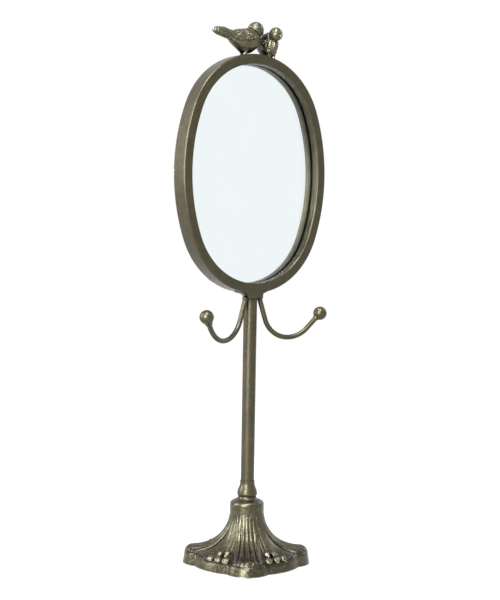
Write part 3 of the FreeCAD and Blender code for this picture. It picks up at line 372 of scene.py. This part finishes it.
def mesh_piece(name, mesh, finish, smooth=True):
    """Makes a finished piece of a mesh: it rides on the one body and has its slot and finish."""
    mesh.name = name
    for face in mesh.polygons:
        face.use_smooth = smooth
    if smooth:
        mesh.set_sharp_from_angle(angle=math.radians(SHARP))
    mesh.materials.clear()
    mesh.materials.append(finish)
    piece = bpy.data.objects.new(name, mesh)
    bpy.context.scene.collection.objects.link(piece)
    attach(piece, "root")
    return piece


def plain_mesh(name, form):
    """The mesh of a bmesh, which is used up."""
    mesh = bpy.data.meshes.new(name)
    form.to_mesh(mesh)
    form.free()
    return mesh


def form_piece(name, form, finish, smooth=True):
    """A finished piece of a bmesh."""
    return mesh_piece(name, plain_mesh(name, form), finish, smooth)


def skin_rings(form, rings, caps):
    """Joins rings of vertices to a tube and closes it with the given rings."""
    for one, two in zip(rings, rings[1:]):
        for step in range(len(one)):
            after = (step + 1) % len(one)
            form.faces.new((one[step], one[after], two[after], two[step]))
    for ring in caps:
        form.faces.new(ring)


def finished_mesh(mesh, modifiers):
    """The mesh that modifiers make of another, as plain data; each is a kind and its settings."""
    carrier = bpy.data.objects.new("work", mesh)
    bpy.context.scene.collection.objects.link(carrier)
    for kind, settings in modifiers:
        modifier = carrier.modifiers.new(kind.lower(), kind)
        for name, value in settings.items():
            setattr(modifier, name, value)
    made = bpy.data.meshes.new_from_object(carrier.evaluated_get(bpy.context.evaluated_depsgraph_get()))
    bpy.data.objects.remove(carrier)
    return made


SILVER_DEPTH = 0.1     # how far inside the glass's rear face the film's front lies, millimetres
SILVER_THICK = 0.05    # how thick it is drawn
SILVER_INSET = 0.999   # its width beside the glass's


def silvering(finishes):
    """The silver on the back of the glass, a film just inside its rear face."""
    low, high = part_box("mirror_glass")
    film = merged_copy("mirror_glass")
    for vertex in film.verts:
        share = (vertex.co.y - low.y) / (high.y - low.y)
        vertex.co.y = high.y - (SILVER_DEPTH - SILVER_THICK * share) * MM
        vertex.co.x *= SILVER_INSET
    form_piece("silvering", film, finishes["silver_coat"], False)


# ---- the base ----

LEAF_ANGLE = math.radians(-126.3)     # middle of the front leaf, from +X towards +Y
SHALLOW = 3.0          # how much lower the plinth's top edge is in front and behind than at the sides
RIM_RISE = (3, 11)     # heights between which that dip grows
RIM_FADE = (12, 24)    # and between which it is lost again
SIDE_FADE = (48, 66)   # and the angles from the leaf, degrees
FAN_RADIUS = 35.6      # radius of the skirt's hollow curve, millimetres
FAN_CENTRE = 51.7      # how far that curve's centre is from the axis
ABOVE = 80.0           # a height above the skirt, to look down on it from


def from_leaf(angle):
    """Angle from the nearer of the front and the back leaf, up to a quarter turn, in degrees."""
    turn = math.degrees(angle - LEAF_ANGLE) % 180
    return min(turn, 180 - turn)


def dip(height, angle):
    """How far the casting's rim dips at a height in millimetres: most at its top edge."""
    low_part = smooth_step(*RIM_RISE, height) * (1 - smooth_step(*RIM_FADE, height))
    return SHALLOW * low_part * (1 - smooth_step(*SIDE_FADE, from_leaf(angle)))


def base_form(finishes):
    """The base casting with the shallower front and rear rim; gives its skin, to set the relief on."""
    form = merged_copy("base_casting")
    for vertex in form.verts:
        x, y, z = vertex.co / MM
        vertex.co.z = (z - dip(z, math.atan2(y, x))) * MM
    skin = BVHTree.FromBMesh(form)
    piece = form_piece("base_body", form, finishes["cast_paint"])
    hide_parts("base_casting")
    return skin


def skin_height(skin, radius, angle):
    """Height of the base's upper face at a distance from the axis and an angle, millimetres."""
    above = Vector((radius * math.cos(angle), radius * math.sin(angle), ABOVE)) * MM
    return skin.ray_cast(above, Vector((0, 0, -1)))[0].z / MM


def skirt_slope(radius):
    """Slope of the skirt's hollow curve at a distance from the axis, in radians."""
    return math.asin((FAN_CENTRE - radius) / FAN_RADIUS)


# ---- berries on the base ----

# Berries beside a leaf: how many, distance from the axis, middle and angle between two, size, stretch.
BERRY_ROWS = {
    "lower_berries": (3, 46.3, 35.2, 10.4, 3.8, 1.0),
    "upper_berries": (1, 38.0, 41.0, 0.0, 3.2, 1.0),
    "drops": (1, 36.0, 30.5, 0.0, 2.4, 1.9),
}
BERRY_RISE = 0.05      # how far a berry's middle stands above the skin, in sizes
BERRY_SPREAD = 0.08    # how much their sizes differ, as a share
LUMPS = (0.9, 2.6)     # height and width of the lumps in a cast berry, millimetres


def berry_tree():
    """Rows of cast berries round the base, the same on each wide lobe."""
    tree = bpy.data.node_groups.new("berry_rows", "GeometryNodeTree")
    for name, kind in (("Geometry", "NodeSocketGeometry"), ("Berries in a row", "NodeSocketInt"),
                       ("Lobes", "NodeSocketInt"), ("First angle", "NodeSocketFloat"),
                       ("Angle between", "NodeSocketFloat"), ("Row radius", "NodeSocketFloat"),
                       ("Row height", "NodeSocketFloat"), ("Slope", "NodeSocketFloat"),
                       ("Berry size", "NodeSocketFloat"), ("Stretch", "NodeSocketFloat"),
                       ("Uneven", "NodeSocketFloat"), ("Seed", "NodeSocketInt"),
                       ("Finish", "NodeSocketMaterial")):
        tree.interface.new_socket(name, in_out="INPUT", socket_type=kind)
    tree.interface.new_socket("Geometry", in_out="OUTPUT", socket_type="NodeSocketGeometry")
    given = add_node(tree, "NodeGroupInput").outputs
    number = add_node(tree, "GeometryNodeInputIndex").outputs[0]
    total = add_node(tree, "ShaderNodeMath", {0: given["Berries in a row"], 1: given["Lobes"]},
                     operation="MULTIPLY").outputs[0]
    share = add_node(tree, "ShaderNodeMath", {0: number, 1: given["Berries in a row"]},
                     operation="DIVIDE").outputs[0]
    lobe = add_node(tree, "ShaderNodeMath", {0: share}, operation="FLOOR").outputs[0]
    place = add_node(tree, "ShaderNodeMath", {0: number, 1: given["Berries in a row"]},
                     operation="MODULO").outputs[0]
    gaps = add_node(tree, "ShaderNodeMath", {0: given["Berries in a row"], 1: 1.0},
                    operation="SUBTRACT").outputs[0]
    middle = add_node(tree, "ShaderNodeMath", {0: gaps, 1: 0.5}, operation="MULTIPLY").outputs[0]
    steps = add_node(tree, "ShaderNodeMath", {0: place, 1: middle}, operation="SUBTRACT").outputs[0]
    aside = add_node(tree, "ShaderNodeMath",
                     {0: steps, 1: given["Angle between"], 2: given["First angle"]},
                     operation="MULTIPLY_ADD").outputs[0]
    apart = add_node(tree, "ShaderNodeMath", {0: 2 * math.pi, 1: given["Lobes"]},
                     operation="DIVIDE").outputs[0]
    angle = add_node(tree, "ShaderNodeMath", {0: lobe, 1: apart, 2: aside},
                     operation="MULTIPLY_ADD").outputs[0]
    cosine = add_node(tree, "ShaderNodeMath", {0: angle}, operation="COSINE").outputs[0]
    sine = add_node(tree, "ShaderNodeMath", {0: angle}, operation="SINE").outputs[0]
    right = add_node(tree, "ShaderNodeMath", {0: cosine, 1: given["Row radius"]},
                     operation="MULTIPLY").outputs[0]
    behind = add_node(tree, "ShaderNodeMath", {0: sine, 1: given["Row radius"]},
                      operation="MULTIPLY").outputs[0]
    spot = add_node(tree, "ShaderNodeCombineXYZ",
                    {0: right, 1: behind, 2: given["Row height"]}).outputs[0]
    points = add_node(tree, "GeometryNodePoints", {"Count": total, "Position": spot}).outputs[0]
    ball = add_node(tree, "GeometryNodeMeshIcoSphere",
                    {"Radius": 1.0, "Subdivisions": 4}).outputs["Mesh"]
    turn = add_node(tree, "ShaderNodeCombineXYZ", {0: 0.0, 1: given["Slope"], 2: angle}).outputs[0]
    low = add_node(tree, "ShaderNodeMath", {0: 1.0, 1: given["Uneven"]},
                   operation="SUBTRACT").outputs[0]
    high = add_node(tree, "ShaderNodeMath", {0: 1.0, 1: given["Uneven"]},
                    operation="ADD").outputs[0]
    chance = add_node(tree, "FunctionNodeRandomValue",
                      {"Min": low, "Max": high, "ID": number, "Seed": given["Seed"]},
                      data_type="FLOAT")
    wide = add_node(tree, "ShaderNodeMath", {0: given["Berry size"], 1: chance.outputs[1]},
                    operation="MULTIPLY").outputs[0]
    long = add_node(tree, "ShaderNodeMath", {0: wide, 1: given["Stretch"]},
                    operation="MULTIPLY").outputs[0]
    scale = add_node(tree, "ShaderNodeCombineXYZ", {0: long, 1: wide, 2: wide}).outputs[0]
    set_out = add_node(tree, "GeometryNodeInstanceOnPoints",
                       {"Points": points, "Instance": ball, "Rotation": turn,
                        "Scale": scale}).outputs[0]
    real = add_node(tree, "GeometryNodeRealizeInstances", {"Geometry": set_out}).outputs[0]
    done = add_node(tree, "GeometryNodeSetMaterial",
                    {"Geometry": real, "Material": given["Finish"]}).outputs[0]
    add_node(tree, "NodeGroupOutput", {0: done})
    return tree


def grown(tree, values, name):
    """The plain mesh that a geometry tree makes of an empty one with the named values."""
    seed = bpy.data.objects.new(name, bpy.data.meshes.new(name))
    bpy.context.scene.collection.objects.link(seed)
    modifier = seed.modifiers.new(name, "NODES")
    modifier.node_group = tree
    for item in tree.interface.items_tree:
        if item.in_out == "INPUT" and item.name in values:
            modifier[item.identifier] = values[item.name]
    mesh = bpy.data.meshes.new_from_object(seed.evaluated_get(bpy.context.evaluated_depsgraph_get()))
    seed.modifiers.clear()
    bpy.data.objects.remove(seed)
    return mesh


def berries(skin, finishes):
    """Berries and drops half sunk in the wide lobes, on both sides of the front and the back leaf."""
    tree = berry_tree()
    for seed, (name, (count, radius, middle, apart, size, stretch)) in enumerate(BERRY_ROWS.items()):
        height = skin_height(skin, radius, LEAF_ANGLE + math.radians(middle))
        for side, word in ((-1, "left"), (1, "right")):
            # The berries take the paler paint: partly wear on high spots, partly painted highlight.
            mesh = grown(tree, {
                "Berries in a row": count, "Lobes": 2,
                "First angle": LEAF_ANGLE + side * math.radians(middle),
                "Angle between": math.radians(apart),
                "Row radius": radius * MM, "Row height": (height + BERRY_RISE * size) * MM,
                "Slope": skirt_slope(radius), "Berry size": size * MM, "Stretch": stretch,
                "Uneven": BERRY_SPREAD, "Seed": seed * 2 + side,
                "Finish": finishes["rubbed_paint"]}, name)
            for vertex in mesh.vertices:
                lump = noise.noise(vertex.co / (LUMPS[1] * MM))
                vertex.co += vertex.normal * (LUMPS[0] * MM * lump)
            mesh_piece(f"{name}_{word}", mesh, finishes["rubbed_paint"])


# ---- short reeds above the berries ----

SHORT_REEDS = ((28.5, 34.0), (36.5, 32.5))     # angle from the leaf's middle, distance of the tip
REED_START = 19.0          # distance of their upper ends from the axis, millimetres
REED_HALF = (0.7, 1.0)     # half width at the start and how much it gains
REED_RISE = (0.15, 0.5)    # height at the start and how much it gains
REED_BODY, REED_TIP = 0.55, 0.45     # shares of the length: widening, then narrowing to a round tip
REED_RINGS, REED_SIDES = 22, 12


def reed_ring(form, skin, angle, end, share):
    """One ring of a short reed, at a share of its length."""
    radius = REED_START + (end - REED_START) * share
    slope = skirt_slope(radius)
    out = Vector((math.cos(angle), math.sin(angle), 0))
    along = out * math.cos(slope) - Vector((0, 0, math.sin(slope)))
    across = Vector((0, 0, 1)).cross(out)
    proud = along.cross(across) * -1
    tip = math.sqrt(max(1 - max((share - REED_BODY) / REED_TIP, 0.0) ** 2, 0.0))
    half = (REED_HALF[0] + REED_HALF[1] * share) * tip
    rise = (REED_RISE[0] + REED_RISE[1] * share) * tip
    middle = out * radius + Vector((0, 0, skin_height(skin, radius, angle)))
    ring = []
    for step in range(REED_SIDES):
        turn = 2 * math.pi * step / REED_SIDES
        spot = middle + across * half * math.cos(turn) + proud * (rise * math.sin(turn))
        ring.append(form.verts.new(spot * MM))
    return ring


def short_reeds(skin, finishes):
    """Tapered reeds down the skirt beside the leaves, with round tips over the berries."""
    form = bmesh.new()
    for leaf in (0, math.pi):
        for side in (-1, 1):
            for spread, end in SHORT_REEDS:
                angle = LEAF_ANGLE + leaf + side * math.radians(spread)
                rings = [reed_ring(form, skin, angle, end, place / REED_RINGS)
                         for place in range(REED_RINGS + 1)]
                skin_rings(form, rings, rings[:1])
    bmesh.ops.remove_doubles(form, verts=form.verts, dist=0.001 * MM)     # the tip's ring is one point
    bmesh.ops.recalc_face_normals(form, faces=form.faces)
    form_piece("short_reeds", form, finishes["smooth_paint"])


# ---- birds ----

VOXEL = 0.33                # how finely a bird is sculpted, millimetres
SOFTEN = 7                  # how many times its joints are softened
BELLY = (1.1, 1, 4, 13)     # how far the belly is drawn up, and where over the perch: from, most, to
PERCH_FADE = (-1.0, 2.5)    # heights over which the relief starts, so that the feet keep their place
THIGH = (0.4, 4.3, 6.0)     # a thigh's middle ahead of the leg, aside and above the perch
FOOT_ASIDE, FOOT_LOW = 2.7, -0.2
LEG_RADII = (1.5, 2.2, 2.5)     # of a leg at the foot and the top, and of the thigh
# The relief of a bird of size 1.
WING_PROUD = 0.75
WING_BARE = 1.2                   # half width of the bare strip between the wings
WING_SLANT = (1.2, 3.0)           # how far a wing's rear is raised, and how far it falls to its front
WING_EDGE = (0.3, 1.06, 0.09)     # groove round a wing: depth, place and width in half heights
FEATHERS = (0.55, 0.28, 3.2)      # flight feathers: their share of the wing, depth and number of grooves
SCALES = (0.36, 2.5, 2.3)         # scales ahead of them: height, length, width
THROAT = (0.8, 0.5, 0.75)         # crease under the head: depth, distance, width
STREAKS = (0.16, 2.1)             # on the breast: height, distance between two
EYE_LOOK = (0.62, 0.66, 0.28)     # where an eye is, from the head's middle: ahead, aside, up
EYE = (1.6, 0.95)                 # height and width of an eye
EYE_PIT = (1.0, 1.9)              # depth and width of the pit round it
BROWS = (0.12, 5.2)               # fine lines on the head: height and how close
TAIL_GROOVES = (0.7, 1.7, 0.5)    # along the tail: depth, distance from the middle, width
TAIL_RIDGE = (0.35, 0.8)          # between them: height, width
TAIL_ACROSS = (0.4, 3.0, 0.5)     # groove across it: depth, distance from the end, width
CAST_SKIN = (0.22, 0.9)           # unevenness of the whole: height and how close
# A bird's own frame: ahead of its legs, to its left and above its perch, all in millimetres.
# yaw turns the bird and glance its face; wing is its rear, front, height and half height.
BIRDS = {
    "bird_left": {"yaw": 0.0, "tail": 35.5, "head": (13.9, 0.0, 23.9), "head_radius": 7.6,
                  "glance": -28.0, "wing": (-17.0, 8.5, 17.2, 5.6), "leg": 0.0, "size": 1.0},
    "bird_right": {"yaw": -90.0, "tail": 31.8, "head": (10.0, 0.0, 21.4), "head_radius": 6.45,
                   "glance": -20.0, "wing": (-15.0, 5.5, 15.6, 5.0), "leg": 4.0, "size": 0.86},
}


def bird_frame(name, facts):
    """Where a bird stands: its origin at the perch and the turn from its own frame."""
    low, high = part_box(name)
    rise = facts["head"][2] + facts["head_radius"]
    turn = Matrix.Rotation(math.radians(facts["yaw"]), 3, "Z")
    if facts["yaw"] == 0.0:
        origin = Vector((low.x / MM + facts["tail"], 0, high.z / MM - rise))
    else:
        origin = Vector(((low.x + high.x) / 2 / MM, high.y / MM - facts["tail"], high.z / MM - rise))
    return origin, turn


def pit(distance, width):
    """A round bell of height 1."""
    return math.exp(-(distance / width) ** 2)


def wing_relief(ahead, left, up, facts):
    """Raised leaf shapes on both sides, with lengthwise flight feathers behind and scales ahead."""
    back, front, height, half = facts["wing"]
    size = facts["size"]
    share = (ahead - back) / (front - back)
    if not 0.0 < share < 1.0 or abs(left) <= WING_BARE * size:
        return 0.0
    middle = height + WING_SLANT[0] * size - WING_SLANT[1] * size * share
    reach = half * math.sin(math.pi * share ** 0.62) ** 0.75     # a leaf shape, widest behind its middle
    offset = (up - middle) / max(reach, 0.01)
    inside = smooth_step(1.0, 0.86, abs(offset)) if abs(offset) < 1.0 else 0.0
    proud = WING_PROUD * size * inside
    if share < FEATHERS[0]:
        groove = 0.5 + 0.5 * math.cos(offset * math.pi * FEATHERS[2])
        proud -= FEATHERS[1] * size * inside * groove
    else:
        scale = math.cos(2 * math.pi * ahead / (SCALES[1] * size))
        scale *= math.cos(2 * math.pi * up / (SCALES[2] * size))
        proud += SCALES[0] * size * inside * scale
    return proud - WING_EDGE[0] * size * pit(abs(offset) - WING_EDGE[1], WING_EDGE[2])


def face_relief(spot, head, facts):
    """Round eyes in shallow pits, and the fine lines of brow and beak."""
    size = facts["size"]
    glance = Matrix.Rotation(math.radians(facts["glance"]), 3, "Z")
    proud = 0.0
    for side in (-1, 1):
        look = glance @ Vector((EYE_LOOK[0], side * EYE_LOOK[1], EYE_LOOK[2])).normalized()
        eye = head + look * facts["head_radius"]
        distance = (spot - eye).length
        proud -= EYE_PIT[0] * size * pit(distance, EYE_PIT[1] * size)
        proud += EYE[0] * size * pit(distance, EYE[1] * size)
    lines = math.sin(spot.z * BROWS[1] / size) * smooth_step(2.0, 6.0, abs(spot.y))
    return proud + BROWS[0] * size * lines


def tail_relief(ahead, left, facts):
    """A ridge between two long grooves, and a groove across near the end."""
    size, start = facts["size"], facts["wing"][0]
    fade = smooth_step(start + 2.0, start - 2.0, ahead)
    depth, aside, width = TAIL_GROOVES
    proud = -depth * size * fade * pit(abs(left) - aside * size, width * size)
    proud += TAIL_RIDGE[0] * size * fade * pit(left, TAIL_RIDGE[1] * size)
    return proud - TAIL_ACROSS[0] * size * pit(ahead + facts["tail"] - TAIL_ACROSS[1], TAIL_ACROSS[2])


def plumage(spot, facts):
    """How far the surface stands proud at a spot of the bird, in millimetres."""
    ahead, left, up = spot
    size, radius = facts["size"], facts["head_radius"]
    head = Vector(facts["head"])
    back, front = facts["wing"][:2]
    from_head = (spot - head).length - radius
    proud = 0.0
    if from_head >= 0.35 * size or ahead <= head.x - radius * 0.9:
        proud += wing_relief(ahead, left, up, facts)
    if from_head > 0 and ahead > head.x - radius * 1.1:
        proud -= THROAT[0] * size * pit(from_head - THROAT[1] * size, THROAT[2] * size)
    if ahead > back + 0.9 * (front - back) and up < head.z - radius:
        streak = math.cos(2 * math.pi * left / (STREAKS[1] * size))
        proud += STREAKS[0] * size * streak * smooth_step(1.0, 4.0, ahead)
    if from_head < 0.8 * size and ahead > head.x - radius:
        proud += face_relief(spot, head, facts)
    if ahead < back + 2.0:
        proud += tail_relief(ahead, left, facts)
    return proud + CAST_SKIN[0] * size * noise.noise(spot * (CAST_SKIN[1] / size))


def add_leg(form, side, facts, origin, turn):
    """A tapered leg with its thigh, sunk in the body's side."""
    size = facts["size"]
    low, high, thigh_radius = (radius * MM * size for radius in LEG_RADII)
    thigh = Vector((facts["leg"] + THIGH[0], side * THIGH[1], THIGH[2])) * size
    foot = Vector((facts["leg"], side * FOOT_ASIDE, FOOT_LOW)) * size
    axis = thigh - foot
    place = Matrix.Translation((origin + turn @ ((thigh + foot) / 2)) * MM)
    lean = Vector((0, 0, 1)).rotation_difference(turn @ axis).to_matrix().to_4x4()
    bmesh.ops.create_cone(form, cap_ends=True, segments=24, radius1=low, radius2=high,
                          depth=axis.length * MM, matrix=place @ lean)
    bmesh.ops.create_icosphere(form, subdivisions=3, radius=thigh_radius,
                               matrix=Matrix.Translation((origin + turn @ thigh) * MM))


def sculpted_bird(name, facts, finishes):
    """The cast bird with its joints softened and its plumage cut in."""
    origin, turn = bird_frame(name, facts)
    rough = merged_copy(name)
    for side in (-1, 1):
        add_leg(rough, side, facts, origin, turn)
    mesh = finished_mesh(plain_mesh("rough_bird", rough), (
        ("REMESH", {"mode": "VOXEL", "voxel_size": VOXEL * MM}),
        ("SMOOTH", {"factor": 0.5, "iterations": SOFTEN}),
    ))
    lift, start, most, end = BELLY
    for vertex in mesh.vertices:
        rise = vertex.co.z / MM - origin.z
        share = smooth_step(start, most, rise) * smooth_step(end, most, rise)
        vertex.co.z += lift * facts["size"] * MM * share
    back = turn.transposed()
    moved = []
    for vertex in mesh.vertices:
        spot = back @ (vertex.co / MM - origin)
        fade = smooth_step(*PERCH_FADE, spot.z)
        moved.append(vertex.co + vertex.normal * (plumage(spot, facts) * fade * MM))
    for vertex, place in zip(mesh.vertices, moved):
        vertex.co = place
    # The birds' paint has paler edges, partly wear and partly painted highlight, and darker hollows,
    # partly dark wash and partly painted shade.
    piece = mesh_piece(name + "_sculpted", mesh, finishes["bird_paint"])
    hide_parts(name)


# ---- braze ----

ROD = 2.38             # half width of a hook rod, millimetres
BEAD = (0.6, 2.0)      # how far a bead spreads past the rod, and its height
BEAD_RISE = 0.5        # how far its middle may be above the neck's underside
RIPPLE = (0.12, 0.9)   # how uneven a bead is, and how close its ripples are
SEAM_HALF = 14.5       # half length of the seam under the frame
SEAM_RADIUS = 1.35
SEAM_DEPTH = 1.2       # how far its middle lies inside the neck's front and rear face
SEAM_RISE = 0.2        # and above the frame's underside
SEAM_RIPPLE = (0.12, 0.6)
SEAM_STEPS, SEAM_SIDES = 24, 16
BELOW = 200.0          # a height under the frame, to look up at it from


def bead(form, place, radius, height):
    """A low round bead of braze with a rippled skin."""
    squash = Matrix.Diagonal((radius * MM, radius * MM, height * MM, 1))
    made = bmesh.ops.create_icosphere(form, subdivisions=4, radius=1.0,
                                      matrix=Matrix.Translation(place) @ squash)
    for vertex in made["verts"]:
        away = vertex.co - place
        vertex.co += away * (RIPPLE[0] * noise.noise(vertex.co / MM * RIPPLE[1]))


def braze_beads(finishes):
    """Braze where the rods enter the neck."""
    form = bmesh.new()
    neck_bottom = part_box("neck_block")[0].z
    for side, word in ((-1, "left"), (1, "right")):
        low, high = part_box("hook_arm_" + word)
        root = Vector((low.x if side > 0 else high.x, high.y, min(high.z, neck_bottom + BEAD_RISE * MM)))
        root.x += side * ROD * MM
        root.y -= ROD * MM
        bead(form, root, ROD + BEAD[0], BEAD[1])
    form_piece("braze_beads", form, finishes["smooth_paint"])


def seam_ring(form, skin, share, depth):
    """One ring of the seam, at a share of its length from -1 to 1."""
    along = SEAM_HALF * share
    height = skin.ray_cast(Vector((along, depth, BELOW)) * MM, Vector((0, 0, 1)))[0].z / MM
    radius = SEAM_RADIUS * math.sqrt(max(1 - share ** 4, 0.0))
    radius += SEAM_RIPPLE[0] * noise.noise(Vector((along * SEAM_RIPPLE[1], depth, 0)))
    radius = max(radius, 0.01)
    ring = []
    for step in range(SEAM_SIDES):
        turn = 2 * math.pi * step / SEAM_SIDES
        spot = (along, depth + radius * math.cos(turn), height + SEAM_RISE + radius * math.sin(turn))
        ring.append(form.verts.new(Vector(spot) * MM))
    return ring


def neck_seam(finishes):
    """Braze in the groove between the neck block and the frame's rounded edge, front and back."""
    low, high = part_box("neck_block")
    oval = merged_copy("mirror_frame")
    skin = BVHTree.FromBMesh(oval)
    oval.free()
    form = bmesh.new()
    for depth in (low.y / MM + SEAM_DEPTH, high.y / MM - SEAM_DEPTH):
        rings = [seam_ring(form, skin, place / SEAM_STEPS - 1, depth)
                 for place in range(2 * SEAM_STEPS + 1)]
        skin_rings(form, rings, (rings[0], rings[-1]))
    bmesh.ops.recalc_face_normals(form, faces=form.faces)
    form_piece("neck_seam", form, finishes["frame_paint"])


# ---- screws ----

RECESS = (2.9, 0.75, 1.0)     # length, width and depth of the cross in a screw's head, millimetres


def loose_parts(form):
    """The separate pieces of a mesh, each a list of its vertices."""
    left = dict.fromkeys(form.verts)
    while left:
        first = next(iter(left))
        del left[first]
        reached = [first]
        for vertex in reached:
            for edge in vertex.link_edges:
                other = edge.other_vert(vertex)
                if other in left:
                    del left[other]
                    reached.append(other)
        yield reached


def cross(form, part):
    """Two bars through the top of a screw's head, turned by chance as a screw stops."""
    length, width, depth = RECESS
    spots = [vertex.co for vertex in part]
    top = Vector(((min(spot.x for spot in spots) + max(spot.x for spot in spots)) / 2,
                  max(spot.y for spot in spots),
                  (min(spot.z for spot in spots) + max(spot.z for spot in spots)) / 2))
    turn = Matrix.Rotation(noise.random() * math.pi, 4, "Y")
    for wide, high in ((length, width), (width, length)):
        shape = Matrix.Diagonal((wide * MM, 2 * depth * MM, high * MM, 1))
        bmesh.ops.create_cube(form, size=1.0, matrix=Matrix.Translation(top) @ turn @ shape)


def crossed_screws(finishes):
    """The clip screws with a cross recess in each head."""
    screws = merged_copy("clip_screws")
    crosses = bmesh.new()
    for part in loose_parts(screws):
        cross(crosses, part)
    cutter = bpy.data.objects.new("crosses", plain_mesh("crosses", crosses))
    bpy.context.scene.collection.objects.link(cutter)
    cut = {"operation": "DIFFERENCE", "object": cutter, "use_self": True}
    mesh = finished_mesh(plain_mesh("screws", screws), (("BOOLEAN", cut),))
    bpy.data.objects.remove(cutter)
    piece = mesh_piece("crossed_screws", mesh, finishes["plated_steel"])
    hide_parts("clip_screws")


# ---- the whole ----

SCREW_SEED = 7     # sets how far the screws are turned

add_camera()
add_light()
add_floor()
bpy.context.scene.view_settings.view_transform = "Standard"

FINISHES = make_finishes()
SLOTS = {row["node"]: row["material_slot"] for row in frame["record"]["subparts"]}
for name, node in frame["nodes"].items():
    for place in range(len(node.material_slots)):
        node.material_slots[place].material = FINISHES[SLOTS[name]]
silvering(FINISHES)
base_skin = base_form(FINISHES)
berries(base_skin, FINISHES)
short_reeds(base_skin, FINISHES)
for bird_name, bird_facts in BIRDS.items():
    sculpted_bird(bird_name, bird_facts, FINISHES)
braze_beads(FINISHES)
neck_seam(FINISHES)
noise.seed_set(SCREW_SEED)
crossed_screws(FINISHES)
